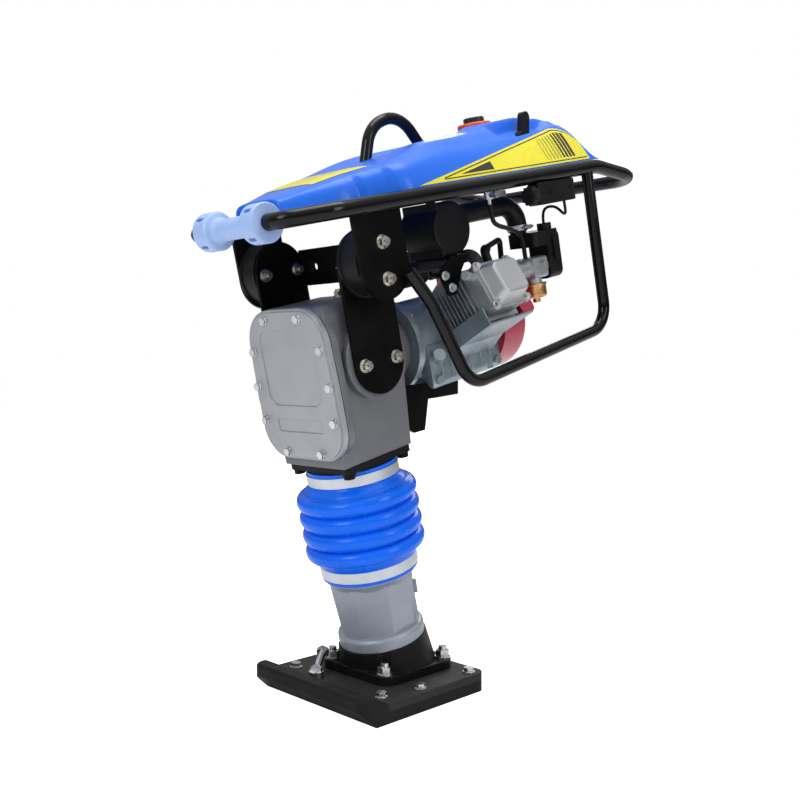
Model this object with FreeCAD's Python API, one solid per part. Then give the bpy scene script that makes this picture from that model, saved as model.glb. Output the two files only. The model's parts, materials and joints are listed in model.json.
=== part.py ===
"""Jumping jack rammer (vertical tamper), modelled as an assembly of separate pieces, in millimetres.

Row frame: origin on the floor at the centre of the flat sole, +Z up, -Y towards the toe and the front
roller, +Y towards the operator, +X the side that the rocker cover faces.
Everything above the foot casting is drawn in the column frame, whose z runs up the leaning column,
and leaned() then puts it in the row frame.
"""
import FreeCAD
import Part
import math
import os

V = FreeCAD.Vector
X, Y, Z = V(1, 0, 0), V(0, 1, 0), V(0, 0, 1)

# ---------------------------------------------------------------- driving dimensions
LEAN_DEG = 13.2            # the column leans this far towards the toe
COLUMN_Y = 36.0            # where the column's axis meets the floor

SOLE_W = 280.0
SOLE_FLAT = 258.0          # length of the flat that rests on the ground
PAD_T = 19.0
PLATE_T = 13.0
TOE_RUN, TOE_RISE = 31.0, 28.0
TOE_LIP = 20.0             # height of the toe's front face
SOLE_CORNER_R = 18.0

FLANGE_W, FLANGE_L, FLANGE_T = 172.0, 172.0, 15.0
STUD_X, STUD_Y = 66.0, 70.0

BORE_R = 50.0              # spring cylinder's inner wall
LINER_T = 6.0
SLIDE_CLEAR = 0.05         # radial running clearance of the sliding leg
LEG_TOP = 239.0
LINER_TOP = 330.0
GUIDE_BOTTOM = 266.0
CASE_BOTTOM = 411.0        # underside of the case's base flange, along the column

BELLOWS_R, BELLOWS_ROOT_R = 103.0, 89.0
BELLOWS_WALL = 3.0
FOLDS, FOLD_FIRST, FOLD_PITCH = 4, 266.0, 29.3
LOWER_NECK_R, UPPER_NECK_R = 83.0, 77.0

BASE_T = 11.0
BASE_X, BASE_Y = 75.0, 73.0
CASE_TOP = 682.0
CASE_FRONT, CASE_REAR = -78.0, 74.0
COVER_T = 12.0
GEAR_Z = 496.0
SHAFT_DROP = 82.0          # centre distance of pinion and crank gear
ENGINE_Z = GEAR_Z + SHAFT_DROP
CRANK_THROW = 22.0
GEAR_TEETH, PINION_TEETH = 64, 18
TOOTH_MODULE = 2.0

BRACKET_Y, BRACKET_R = 6.0, 52.0
BRACKET_X, BRACKET_T = 101.3, 6.0
BRACKET_LOW, MOUNT_Z = 579.0, 735.0
MOUNT_R, MOUNT_LEN = 54.0, 40.7

TUBE_R = 13.0
RAIL_Z, RAIL_SLOPE = 819.0, 0.01
ROLLER_Y, ROLLER_R, ROLLER_LEN = -139.5, 30.4, 154.0
RAIL_X_FRONT, RAIL_Y_FRONT = 148.0, -73.0
RAIL_X_REAR, RAIL_Y_REAR = 200.0, 534.0
GRIP_Y, GRIP_SLOPE = 673.0, -0.25

CYL_TILT_DEG = 26.0        # the engine's cylinder rises this far above the +X direction
CYL_Y = 258.0
HEAD_REACH = 186.0         # crank axis to rocker cover joint


# ---------------------------------------------------------------- small shape helpers
def box(x0, x1, y0, y1, z0, z1):
    return Part.makeBox(x1 - x0, y1 - y0, z1 - z0, V(x0, y0, z0))


def rod(r, start, end):
    """A solid cylinder of radius r from one point to another."""
    axis = end - start
    return Part.makeCylinder(r, axis.Length, start, axis)


def ring(r_out, r_in, start, end):
    """A tube, its bore cut a little past both ends."""
    axis = (end - start).normalize()
    return rod(r_out, start, end).cut(rod(r_in, start - axis, end + axis))


def prism(points, direction):
    """A straight-sided outline pushed along a direction."""
    return Part.Face(Part.makePolygon(points + [points[0]])).extrude(direction)


def hexagon(width, centre, axis, height):
    """A hexagonal head or nut, width across its flats."""
    head = prism([V(width / math.sqrt(3) * math.cos(math.radians(60 * k)),
                    width / math.sqrt(3) * math.sin(math.radians(60 * k)), 0) for k in range(6)], Z * height)
    head.Placement = FreeCAD.Placement(centre, FreeCAD.Rotation(Z, axis))
    return head


def fuse(shapes):
    whole = shapes[0].multiFuse(shapes[1:]) if len(shapes) > 1 else shapes[0]
    return whole.removeSplitter()


def mirrored(shape):
    return shape.mirror(V(0, 0, 0), X)


def both_sides(shape):
    return [shape, mirrored(shape)]


def rounded(shape, radius, pick):
    """Round the edges whose midpoint and length satisfy pick."""
    edges = [e for e in shape.Edges if pick(e)]
    return shape.makeFillet(radius, edges) if edges else shape


def along(edge, axis):
    """True for a straight edge that runs along an axis."""
    if edge.Curve.TypeId != "Part::GeomLine":
        return False
    return abs(edge.tangentAt(edge.FirstParameter).dot(axis)) > 0.99


def bent_path(points, radii):
    """Straight runs joined by tangent arcs, one radius for each inner point."""
    edges = []
    start = points[0]
    for k, radius in enumerate(radii, start=1):
        corner = points[k]
        back = (points[k - 1] - corner).normalize()
        ahead = (points[k + 1] - corner).normalize()
        half = back.getAngle(ahead) / 2
        trim = radius / math.tan(half)
        entry, leave = corner + back * trim, corner + ahead * trim
        middle = corner + (back + ahead).normalize() * (radius / math.sin(half) - radius)
        if (entry - start).Length > 1e-3:
            edges.append(Part.makeLine(start, entry))
        edges.append(Part.Arc(entry, middle, leave).toShape())
        start = leave
    edges.append(Part.makeLine(start, points[-1]))
    return Part.Wire(edges)


def bent_rod(points, radii, r):
    """A round bar or solid hose along a bent path."""
    path = bent_path(points, radii)
    circle = Part.Wire(Part.makeCircle(r, points[0], points[1] - points[0]))
    return path.makePipeShell([circle], True, False)


def bent_tube(points, radii, r, wall):
    first = (points[1] - points[0]).normalize()
    last = (points[-1] - points[-2]).normalize()
    inner = bent_rod([points[0] - first] + points[1:-1] + [points[-1] + last], radii, r - wall)
    return bent_rod(points, radii, r).cut(inner)


def soft_radii(points):
    """The largest even arcs for a limp line: 0.45 of the shorter run over tan of half the turn."""
    radii = []
    for k in range(1, len(points) - 1):
        back, ahead = points[k - 1] - points[k], points[k + 1] - points[k]
        half_turn = (math.pi - back.getAngle(ahead)) / 2
        radii.append(0.45 * min(back.Length, ahead.Length) / math.tan(half_turn))
    return radii


def bolt(centre, axis, shank_r, grip, head_w, washer_r):
    """A hex bolt: its washer lies on the surface at centre, and its shank runs into the part."""
    up = V(axis).normalize()
    return fuse([rod(washer_r, centre, centre + up * 1.6),
                 hexagon(head_w, centre + up * 1.6, up, shank_r * 1.3),
                 rod(shank_r, centre - up * grip, centre + up * 2)])


def leaned(shape):
    """From the column frame to the row frame."""
    shape = shape.copy()
    shape.rotate(V(0, 0, 0), X, LEAN_DEG)
    shape.translate(V(0, COLUMN_Y, 0))
    return shape


# ---------------------------------------------------------------- foot
SOLE_FRONT, SOLE_REAR = -SOLE_FLAT / 2, SOLE_FLAT / 2
TOE_FRONT = SOLE_FRONT - TOE_RUN


def rounded_plan(solid):
    """Round the upright corners of the sole."""
    return rounded(solid, SOLE_CORNER_R,
                   lambda e: along(e, Z) and abs(abs(e.CenterOfMass.x) - SOLE_W / 2) < 1)


def sole_pad():
    """Polymer shoe: flat rest, raised toe and a lip that ramps down to the plate's top."""
    side = [(SOLE_REAR, 0), (SOLE_FRONT, 0), (TOE_FRONT, TOE_RISE), (TOE_FRONT, TOE_RISE + TOE_LIP),
            (LIP_REAR, TOE_RISE + TOE_LIP), (RAMP_END, PLATE_TOP), (RAMP_END + 4, PAD_T), (SOLE_REAR, PAD_T)]
    pad = rounded_plan(prism([V(-SOLE_W / 2, y, z) for y, z in side], X * SOLE_W))
    return rounded(pad, 5, lambda e: along(e, X) and abs(e.CenterOfMass.z - TOE_RISE - TOE_LIP) < 1)


def sole_plate():
    side = [(SOLE_REAR, PAD_T), (RAMP_END + 4, PAD_T), (RAMP_END, PLATE_TOP), (SOLE_REAR, PLATE_TOP)]
    plate = rounded_plan(prism([V(-SOLE_W / 2, y, z) for y, z in side], X * SOLE_W))
    for x, y in SOLE_BOLT_PLACES:
        plate = plate.cut(rod(SOLE_BOLT_R, V(x, y, 0), V(x, y, PLATE_TOP + 1)))
    for x, y in STUD_PLACES:
        plate = plate.cut(rod(STUD_R, V(x, y, 0), V(x, y, PLATE_TOP + 1)))
    return plate


PLATE_TOP = PAD_T + PLATE_T
LIP_REAR = TOE_FRONT + 25
RAMP_END = LIP_REAR + 30
SOLE_BOLT_R = 5.0
SOLE_BOLT_PLACES = [(side * x, y) for side in (-1, 1) for x, y in ((108, -90), (122, -16), (122, 104))]
STUD_R = 7.0
FLANGE_Y = COLUMN_Y - 8
STUD_PLACES = [(side * STUD_X, FLANGE_Y + end * STUD_Y) for side in (-1, 1) for end in (-1, 1)]


def sole_bolts():
    return Part.makeCompound([bolt(V(x, y, PLATE_TOP), Z, SOLE_BOLT_R, PLATE_T, 16, 11)
                              for x, y in SOLE_BOLT_PLACES])


def foot_casting():
    """Square flange with a leaning conical socket for the leg."""
    flange = box(-FLANGE_W / 2, FLANGE_W / 2, FLANGE_Y - FLANGE_L / 2, FLANGE_Y + FLANGE_L / 2,
                 PLATE_TOP, PLATE_TOP + FLANGE_T)
    flange = rounded(flange, 26, lambda e: along(e, Z))
    socket = leaned(Part.makeCone(90, SOCKET_R, SOCKET_TOP, V(0, 0, 0), Z))
    foot = flange.fuse(socket).cut(box(-200, 200, -200, 200, -60, PLATE_TOP))
    foot = foot.cut(leaned(rod(SOCKET_BORE_R, V(0, 0, SOCKET_FLOOR), V(0, 0, SOCKET_TOP + 1))))
    for x, y in STUD_PLACES:
        foot = foot.cut(rod(STUD_R, V(x, y, 0), V(x, y, 120)))
        foot = foot.cut(rod(16, V(x, y, PLATE_TOP + FLANGE_T), V(x, y, 120)))
    return foot.removeSplitter()


SOCKET_R, SOCKET_TOP, SOCKET_FLOOR = 77.0, 94.0, 62.0
SOCKET_BORE_R = 62.0


def foot_studs():
    """Four studs with nuts, and the slanting stay bolt at the front of the flange."""
    top = PLATE_TOP + FLANGE_T
    pieces = []
    for x, y in STUD_PLACES:
        pieces.append(fuse([rod(14, V(x, y, top), V(x, y, top + 2.5)),
                            hexagon(21, V(x, y, top + 2.5), Z, 11),
                            rod(STUD_R, V(x, y, PAD_T), V(x, y, top + 20))]))
    low, high = V(-36, -104, PLATE_TOP + 12), V(-62, FLANGE_Y - FLANGE_L / 2 - 9, PLATE_TOP + 34)
    axis = (high - low).normalize()
    pieces.append(fuse([rod(6, low, high), hexagon(19, low - axis * 4, axis, 9),
                        rod(13, V(low.x, low.y, PLATE_TOP), V(low.x, low.y, PLATE_TOP + 12)),
                        hexagon(19, high - axis * 8, axis, 9)]))
    return Part.makeCompound(pieces)


# ---------------------------------------------------------------- leg
RING_TOP = 116.0
RING_R = 75.0
LINER_R = BORE_R + LINER_T
LINER_BOTTOM = 66.0        # a little above the socket's floor


def leg_cylinder():
    """Cast leg: spigot in the foot, round ring, eight-sided body that widens upwards, round top."""
    def octagon(flat, z):
        corner = flat / math.cos(math.radians(22.5))
        angles = [math.radians(45 * k + 22.5) for k in range(8)]
        points = [V(corner * math.cos(a), corner * math.sin(a), z) for a in angles]
        return Part.makePolygon(points + [points[0]])
    base = rounded(rod(RING_R, V(0, 0, SOCKET_TOP), V(0, 0, RING_TOP)), 7,
                   lambda e: e.Length > 400 and e.CenterOfMass.z > RING_TOP - 1)
    neck_low = LEG_TOP - 26
    spigot = rod(SOCKET_BORE_R, V(0, 0, SOCKET_FLOOR), V(0, 0, SOCKET_TOP + 1))
    body = Part.makeLoft([octagon(63, RING_TOP - 6), octagon(70, neck_low - 8)], True, True)
    collar = Part.makeCone(69, LOWER_NECK_R - BELLOWS_WALL, 14, V(0, 0, neck_low - 14), Z)
    top = rod(LOWER_NECK_R - BELLOWS_WALL, V(0, 0, neck_low), V(0, 0, LEG_TOP))
    ribs = [box(64, 72, -2, 2, RING_TOP - 4, neck_low - 4).rotate(V(0, 0, 0), Z, a) for a in (22.5, 67.5)]
    boss = rod(12, V(LINER_R, 0, 172), V(RING_R - 1, 0, 172)).rotate(V(0, 0, 0), Z, 45)
    leg = fuse([base, spigot, body, collar, top, boss] + ribs)
    bore = rod(LINER_R, V(0, 0, SOCKET_FLOOR - 1), V(0, 0, LEG_TOP + 1))
    return leg.cut(bore).removeSplitter()


def spring_cylinder():
    """Steel tube in the leg: floor, wall and a screwed top ring that the springs press on."""
    tube = ring(LINER_R, BORE_R, V(0, 0, LINER_BOTTOM), V(0, 0, LINER_TOP))
    bottom = rod(LINER_R, V(0, 0, LINER_BOTTOM), V(0, 0, LINER_BOTTOM + 8))
    top = ring(LINER_R, RAM_R + 1.5, V(0, 0, LINER_TOP - 8), V(0, 0, LINER_TOP))
    return fuse([tube, bottom, top])


RAM_R = 13.0
PISTON_Z, PISTON_T = 186.0, 14.0
WRIST_Z = GEAR_Z - CRANK_THROW - 92.0


def spring(z0, z1, radius, wire, turns):
    """A coil spring as one swept helix, its ends a wire radius inside z0 and z1."""
    height = z1 - z0 - 2 * wire
    helix = Part.makeHelix(height / turns, height, radius)
    helix.translate(V(0, 0, z0 + wire))
    slope = V(0, 1, height / turns / (2 * math.pi * radius))
    section = Part.Wire(Part.makeCircle(wire, V(radius, 0, z0 + wire), slope))
    return Part.Wire(helix.Edges).makePipeShell([section], True, True)


def ram_springs():
    lower = spring(LINER_BOTTOM + 8.3, PISTON_Z - 0.3, 38, 5, 6)
    upper = spring(PISTON_Z + PISTON_T + 0.3, LINER_TOP - 8.3, 38, 5, 6)
    return Part.makeCompound([lower, upper])


def ram_rod():
    """Rod and spring piston, with a clevis and its pin at the top for the connecting rod."""
    shaft = rod(RAM_R, V(0, 0, PISTON_Z - 18), V(0, 0, WRIST_Z - 24))
    piston = rod(BORE_R - 1, V(0, 0, PISTON_Z), V(0, 0, PISTON_Z + PISTON_T))
    nut = hexagon(32, V(0, 0, PISTON_Z - 16), Z, 16)
    fork = box(-20, 20, -22, 22, WRIST_Z - 26, WRIST_Z + 16)
    slot = box(-21, 21, -12.2, 12.2, WRIST_Z - 18, WRIST_Z + 17)
    pin = rod(PIN_R, V(0, -22, WRIST_Z), V(0, 22, WRIST_Z))
    return fuse([fuse([shaft, piston, nut, fork]).cut(slot), pin])


PIN_R = 8.0


def connecting_rod():
    """Its small end turns on the clevis pin; the crank pin stops just short of its big end."""
    big = V(0, 0, GEAR_Z - CRANK_THROW)
    small = V(0, 0, WRIST_Z)
    half = 12.0
    eyes = [rod(r, p - Y * half, p + Y * half) for r, p in ((22, big), (15, small))]
    shank = box(-9, 9, -6, 6, small.z, big.z)
    return fuse(eyes + [shank]).cut(rod(12, big - Y * 20, big + Y * 20)).cut(
        rod(PIN_R + SLIDE_CLEAR, small - Y * 20, small + Y * 20))


def guide_cylinder():
    """Tube with a square flange, bolted under the case: the spring cylinder slides in it."""
    inner = LINER_R + SLIDE_CLEAR
    tube = ring(inner + 8, inner, V(0, 0, GUIDE_BOTTOM), V(0, 0, CASE_BOTTOM))
    spigot = ring(UPPER_NECK_R - BELLOWS_WALL - SOFT_GAP, inner + 7, V(0, 0, 362), V(0, 0, CASE_BOTTOM))
    plate = box(-BASE_X, BASE_X, -BASE_Y, BASE_Y, CASE_BOTTOM, CASE_BOTTOM + BASE_T)
    plate = rounded(plate, 9, lambda e: along(e, Z))
    plate = plate.cut(rod(inner + 6, V(0, 0, CASE_BOTTOM - 1), V(0, 0, CASE_BOTTOM + 20)))
    return fuse([tube, spigot, plate])


# ---------------------------------------------------------------- bellows and its clamps
BAND_T = 1.4
SOFT_GAP = 0.3             # the boot stands this far off the pieces of the other body


def bellows():
    """Rubber boot: two plain necks and four round folds, the same wall all along."""
    def edge(offset):
        """Outline of one side of the wall, from the lower rim to the upper one."""
        low_r, high_r = LOWER_NECK_R - offset, UPPER_NECK_R - offset
        crest, root = BELLOWS_R - offset, BELLOWS_ROOT_R - offset
        half = FOLD_PITCH / 2
        points = [V(low_r, 0, LEG_TOP - 23), V(low_r, 0, LEG_TOP + 7)]
        edges = [Part.makeLine(points[0], points[1])]
        last = points[1]
        for k in range(FOLDS):
            z = FOLD_FIRST + k * FOLD_PITCH
            begin = V(root, 0, z - half + 3)
            finish = V(root, 0, z + half - 3)
            edges.append(Part.makeLine(last, begin))
            edges.append(Part.Arc(begin, V(crest, 0, z), finish).toShape())
            last = finish
        neck = V(high_r, 0, 374)
        edges.append(Part.makeLine(last, neck))
        edges.append(Part.makeLine(neck, V(high_r, 0, CASE_BOTTOM - 4)))
        return edges
    outer, inner = edge(0), edge(BELLOWS_WALL)
    ends = [Part.makeLine(outer[0].Vertexes[0].Point, inner[0].Vertexes[0].Point),
            Part.makeLine(outer[-1].Vertexes[-1].Point, inner[-1].Vertexes[-1].Point)]
    wire = Part.Wire(Part.__sortEdges__(outer + inner + ends))
    return Part.Face(wire).revolve(V(0, 0, 0), Z, 360)


def clamp(neck_r, z0, z1, angle):
    """A band clamp with its screw housing."""
    band = ring(neck_r + BAND_T, neck_r, V(0, 0, z0), V(0, 0, z1))
    middle = (z0 + z1) / 2
    lug = box(neck_r, neck_r + 12, -9, 9, middle - 5, middle + 5)
    screw = rod(3.5, V(neck_r + 7, -15, middle), V(neck_r + 7, 17, middle))
    lug = lug.cut(rod(neck_r, V(0, 0, z0 - 5), V(0, 0, z1 + 5)))
    return fuse([band, lug, screw]).rotate(V(0, 0, 0), Z, angle)


def lower_clamp():
    return clamp(LOWER_NECK_R, LEG_TOP - 17, LEG_TOP + 1, 128)


def upper_clamp():
    return clamp(UPPER_NECK_R + SOFT_GAP, CASE_BOTTOM - 27, CASE_BOTTOM - 10, 128)


# ---------------------------------------------------------------- case
COVER_GASKET_T = 1.5
COVER_BOLTS = [(42.5, 668), (85, 617), (90.5, 559), (87, 502), (42.3, 450)]
DRUM_R, DRUM_WALL = 48.0, 4.0
DRUM_FRONT, DRUM_REAR = 84.0, 112.0
BELL_R = 60.0
BELL_REAR = 124.0
SHAFT_R = 12.5


def cover_outline(y, inset):
    """Closed outline of the cover, wider in the middle, as a wire in the plane y."""
    low, high = 438 + inset, 684 - inset
    half_low, half_high = 101 - inset, 95 - inset
    r_low, r_high = 52 - inset, 60 - inset
    corners = [V(half_low, y, low), V(half_low, y, 540), V(half_high, y, high), V(-half_high, y, high),
               V(-half_low, y, 540), V(-half_low, y, low)]
    radii = [r_low, 160, r_high, r_high, 160, r_low]
    start = V(0, y, low)
    return Part.Wire(bent_path([start] + corners + [start], radii).Edges)


def slab(outline, thickness):
    return Part.Face(outline).extrude(Y * thickness)


def base_bolts():
    corners = [(sx * (BASE_X - 12), sy * (BASE_Y - 12)) for sx in (-1, 1) for sy in (-1, 1)]
    return Part.makeCompound([bolt(V(x, y, CASE_BOTTOM), -Z, 6, 10, 17, 11) for x, y in corners])


def gear_case():
    """Hollow casting: box body, cover flange, two round side bosses and the clutch bell."""
    def section(half, z, grow=0.0):
        return Part.makePolygon([V(-half, CASE_FRONT - grow, z), V(half, CASE_FRONT - grow, z),
                                 V(half, CASE_REAR + grow, z), V(-half, CASE_REAR + grow, z),
                                 V(-half, CASE_FRONT - grow, z)])
    bottom = CASE_BOTTOM + BASE_T
    body = Part.makeLoft([section(BASE_X - 1, bottom), section(88, 570), section(88, CASE_TOP)], True, True)
    body = rounded(body, 20, lambda e: e.CenterOfMass.z > CASE_TOP - 1 and e.Length > 100)
    flange = slab(cover_outline(CASE_FRONT, 0), 13)
    bosses = both_sides(rod(64, V(80, BRACKET_Y, 583), V(BRACKET_X, BRACKET_Y, 583)))
    bell = rod(BELL_R, V(0, CASE_REAR - 2, ENGINE_Z), V(0, BELL_REAR, ENGINE_Z))
    case = fuse([body, flange, bell] + bosses)
    cavity = slab(cover_outline(CASE_FRONT - 1, 22), CASE_REAR - CASE_FRONT - 13)
    neck = box(-58, 58, -60, 62, bottom - 1, GEAR_Z)
    drum_room = rod(BELL_R - 6, V(0, 79, ENGINE_Z), V(0, BELL_REAR + 1, ENGINE_Z))
    shaft_hole = rod(SHAFT_R + SLIDE_CLEAR, V(0, 50, ENGINE_Z), V(0, 90, ENGINE_Z))
    rear_hole = rod(SHAFT_R + SLIDE_CLEAR, V(0, 50, GEAR_Z), V(0, 68, GEAR_Z))
    holes = [rod(3.5, V(s * x, CASE_FRONT - 1, z), V(s * x, CASE_FRONT + 12, z)) for s in (-1, 1)
             for x, z in COVER_BOLTS]
    for tool in [cavity, neck, drum_room, shaft_hole, rear_hole] + holes:
        case = case.cut(tool)
    return case


def cover_gasket():
    return punched(slab(cover_outline(CASE_FRONT - COVER_GASKET_T, 0.5), COVER_GASKET_T), 22)


def punched(sheet, border):
    """A cover-shaped sheet with its middle and its bolt holes cut out."""
    sheet = sheet.cut(slab(cover_outline(CASE_FRONT - 30, border), 60))
    for side in (-1, 1):
        for x, z in COVER_BOLTS:
            sheet = sheet.cut(rod(3.5, V(side * x, CASE_FRONT - 30, z), V(side * x, CASE_FRONT + 30, z)))
    return sheet


COVER_BACK = CASE_FRONT - COVER_GASKET_T
COVER_FACE = COVER_BACK - COVER_T


def case_cover():
    """Dished cover: bolt rim, raised face with two shallow panels, hollow behind."""
    rim = slab(cover_outline(COVER_FACE + 3, 0), COVER_T - 3)
    face = slab(cover_outline(COVER_FACE, 4), 4)
    cover = fuse([rim, face])
    hollow = slab(cover_outline(COVER_FACE + 6, 22), 20)
    top_panel = rounded(box(-66, 66, COVER_FACE - 1, COVER_FACE + 1.5, 528, 652), 22, lambda e: along(e, Y))
    low_panel = rounded(box(-56, 56, COVER_FACE - 1, COVER_FACE + 1.5, 484, 506), 4, lambda e: along(e, Y))
    for tool in (hollow, top_panel, low_panel):
        cover = cover.cut(tool)
    for side in (-1, 1):
        for x, z in COVER_BOLTS:
            cover = cover.cut(rod(3.5, V(side * x, COVER_FACE - 1, z), V(side * x, 0, z)))
    return cover


def cover_bolts():
    places = [V(s * x, COVER_FACE, z) for s in (-1, 1) for x, z in COVER_BOLTS]
    return Part.makeCompound([bolt(p, -Y, 3.5, COVER_T + 10, 12, 7.5) for p in places])


def breather_plug():
    """Oil filler and breather on the case's top."""
    foot = V(0, 40, CASE_TOP)
    collar = rod(11, foot, foot + Z * 3)
    return fuse([collar, hexagon(17, foot + Z * 3, Z, 7), rod(7, foot - Z * 8, foot + Z * 13)])


# ---------------------------------------------------------------- gears and clutch drum
def toothed_disc(teeth, y0, y1, z):
    """A spur gear with straight-flanked teeth."""
    pitch = TOOTH_MODULE * teeth / 2
    inner, outer = pitch - 1.25 * TOOTH_MODULE, pitch + 0.9 * TOOTH_MODULE
    points = []
    for k in range(teeth):
        for share, radius in ((-0.30, inner), (-0.13, outer), (0.13, outer), (0.30, inner)):
            a = 2 * math.pi * (k + share + GEAR_PHASE[teeth]) / teeth
            points.append(V(radius * math.sin(a), y0, z + radius * math.cos(a)))
    return prism(points, Y * (y1 - y0))


GEAR_PHASE = {GEAR_TEETH: 0.0, PINION_TEETH: 0.5}


def crank_gear():
    disc = toothed_disc(GEAR_TEETH, 22, 44, GEAR_Z)
    stub = rod(SHAFT_R, V(0, 44, GEAR_Z), V(0, 67, GEAR_Z))
    pin = rod(12, V(0, 13, GEAR_Z - CRANK_THROW), V(0, 23, GEAR_Z - CRANK_THROW))
    return fuse([disc, stub, pin])


def clutch_drum():
    """Cup that the clutch shoes grip, on one shaft with the pinion."""
    pinion = toothed_disc(PINION_TEETH, 20, 46, ENGINE_Z)
    shaft = rod(SHAFT_R, V(0, 45, ENGINE_Z), V(0, DRUM_FRONT, ENGINE_Z))
    cup = rod(DRUM_R, V(0, DRUM_FRONT, ENGINE_Z), V(0, DRUM_REAR, ENGINE_Z))
    cup = cup.cut(rod(DRUM_R - DRUM_WALL, V(0, DRUM_FRONT + 4, ENGINE_Z), V(0, DRUM_REAR + 1, ENGINE_Z)))
    return fuse([pinion, shaft, cup])


# ---------------------------------------------------------------- bracket between case and handle
def stadium(x0, x1, z0, z1, r):
    """A flat bar with round ends, lying across x."""
    ends = [rod(r, V(x0, BRACKET_Y, z), V(x1, BRACKET_Y, z)) for z in (z0, z1)]
    return fuse(ends + [box(x0, x1, BRACKET_Y - r, BRACKET_Y + r, z0, z1)])


CROSS_LOW, CROSS_HIGH, CROSS_HOLE_X = 704.0, 766.0, 65.0
CASE_BOLT_Y, INNER_BOLT_Y, OUTER_BOLT_Z = 34.6, 34.6, 28.2


def handle_bracket():
    """Two long side plates joined by a cross plate at their rear edges."""
    plates = both_sides(stadium(BRACKET_X, BRACKET_X + BRACKET_T, BRACKET_LOW, MOUNT_Z, BRACKET_R))
    rear = BRACKET_Y + BRACKET_R
    cross = box(-BRACKET_X - 2, BRACKET_X + 2, rear - 6, rear, CROSS_LOW, CROSS_HIGH)
    for side in (-1, 1):
        cross = cross.cut(rod(6.5, V(side * CROSS_HOLE_X, 0, MOUNT_Z), V(side * CROSS_HOLE_X, 90, MOUNT_Z)))
    return fuse(plates + [cross])


def bracket_bolts():
    """Case bolts and inner mount bolts, with washers and nuts on the plates' outer and inner faces."""
    outside, inside = BRACKET_X + BRACKET_T, BRACKET_X
    bolts = []
    for s in (-1, 1):
        y = BRACKET_Y + s * CASE_BOLT_Y
        bolts += both_sides(nut_and_stud(V(outside, y, BRACKET_LOW), X, 30))
        y = BRACKET_Y + s * INNER_BOLT_Y
        bolts += both_sides(nut_and_stud(V(inside, y, MOUNT_Z), -X, 16))
    return Part.makeCompound(bolts)


def nut_and_stud(seat, axis, buried):
    """A stud that stands out of its washer and nut."""
    up = V(axis).normalize()
    return fuse([rod(11, seat, seat + up * 2), hexagon(16, seat + up * 2, up, 8),
                 rod(5, seat - up * buried, seat + up * 15)])


def rubber_mounts():
    """Two thick rubber discs, each bonded between thin steel faces."""
    x0, x1 = BRACKET_X + BRACKET_T, BRACKET_X + BRACKET_T + MOUNT_LEN
    discs = ((MOUNT_R, x0, x0 + 4), (MOUNT_R - 2.5, x0, x1), (MOUNT_R, x1 - 4, x1))
    drum = fuse([rod(radius, V(start, BRACKET_Y, MOUNT_Z), V(end, BRACKET_Y, MOUNT_Z))
                 for radius, start, end in discs])
    for s in (-1, 1):
        y, z = BRACKET_Y + s * INNER_BOLT_Y, MOUNT_Z + s * OUTER_BOLT_Z
        drum = drum.cut(rod(5, V(x0 - 1, y, MOUNT_Z), V(x0 + 16, y, MOUNT_Z)))
        drum = drum.cut(rod(7, V(x1 - 17, BRACKET_Y, z), V(x1 + 1, BRACKET_Y, z)))
    return Part.makeCompound(both_sides(drum))


# ---------------------------------------------------------------- engine
COS_TILT, SIN_TILT = math.cos(math.radians(CYL_TILT_DEG)), math.sin(math.radians(CYL_TILT_DEG))
CASE_END = 336.0           # rear face of the crankcase
SHROUD_END, RECOIL_END = 374.0, 404.0
RECOIL_R = 96.0


def on_cylinder(shape):
    """Take a shape drawn round +X to the engine's cylinder axis."""
    shape = shape.copy()
    shape.rotate(V(0, 0, 0), Y, -CYL_TILT_DEG)
    shape.translate(V(0, CYL_Y, ENGINE_Z))
    return shape


def cylinder_point(reach, across, up):
    return V(reach * COS_TILT - up * SIN_TILT, CYL_Y + across, ENGINE_Z + reach * SIN_TILT + up * COS_TILT)


SUMP_X, SUMP_Y = 74.0, 150.0          # half width of the sump, and where it starts
SUMP_FLOOR = ENGINE_Z - 84


def crankcase_details():
    """Ribs and bolt bosses on the sump's sides, the seam of its side cover and the drain plug."""
    rib = box(-SUMP_X - 4, SUMP_X + 4, SUMP_Y + 22, SUMP_Y + 26, SUMP_FLOOR + 14, SUMP_FLOOR + 58)
    ribs = [rib.translated(Y * 26 * k) for k in range(6)]
    bosses = [rod(8, V(-SUMP_X - 7, y, z), V(SUMP_X + 7, y, z))
              for y, z in ((SUMP_Y + 14, SUMP_FLOOR + 16), (CASE_END - 14, SUMP_FLOOR + 16))]
    seam = box(-SUMP_X - 2, SUMP_X + 2, CASE_END - 34, CASE_END - 26, SUMP_FLOOR + 4, ENGINE_Z - 2)
    drain = hexagon(17, V(20, SUMP_Y + 1, SUMP_FLOOR + 20), -Y, 9)
    return ribs + bosses + [seam, drain]


def crankcase():
    """Adapter flange, barrel and sump in one casting, bored for the crankshaft."""
    flange = rod(80, V(0, BELL_REAR, ENGINE_Z), V(0, BELL_REAR + 13, ENGINE_Z))
    barrel = rod(70, V(0, BELL_REAR + 13, ENGINE_Z), V(0, CASE_END, ENGINE_Z))
    sump = rounded(box(-SUMP_X, SUMP_X, SUMP_Y, CASE_END, SUMP_FLOOR, ENGINE_Z), 14,
                   lambda e: along(e, Y) or (e.CenterOfMass.z < SUMP_FLOOR + 1))
    neck = on_cylinder(box(20, 76, -50, 50, -48, 48))
    filler = rod(11, V(60, 176, ENGINE_Z - 40), V(92, 158, ENGINE_Z - 22))
    case = fuse([flange, barrel, sump, neck, filler] + crankcase_details())
    case = case.cut(rod(SHAFT_R + SLIDE_CLEAR, V(0, 100, ENGINE_Z), V(0, CASE_END + 1, ENGINE_Z)))
    return case.cut(rod(BELL_R - 14, V(0, BELL_REAR - 1, ENGINE_Z), V(0, BELL_REAR + 6, ENGINE_Z)))


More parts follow.
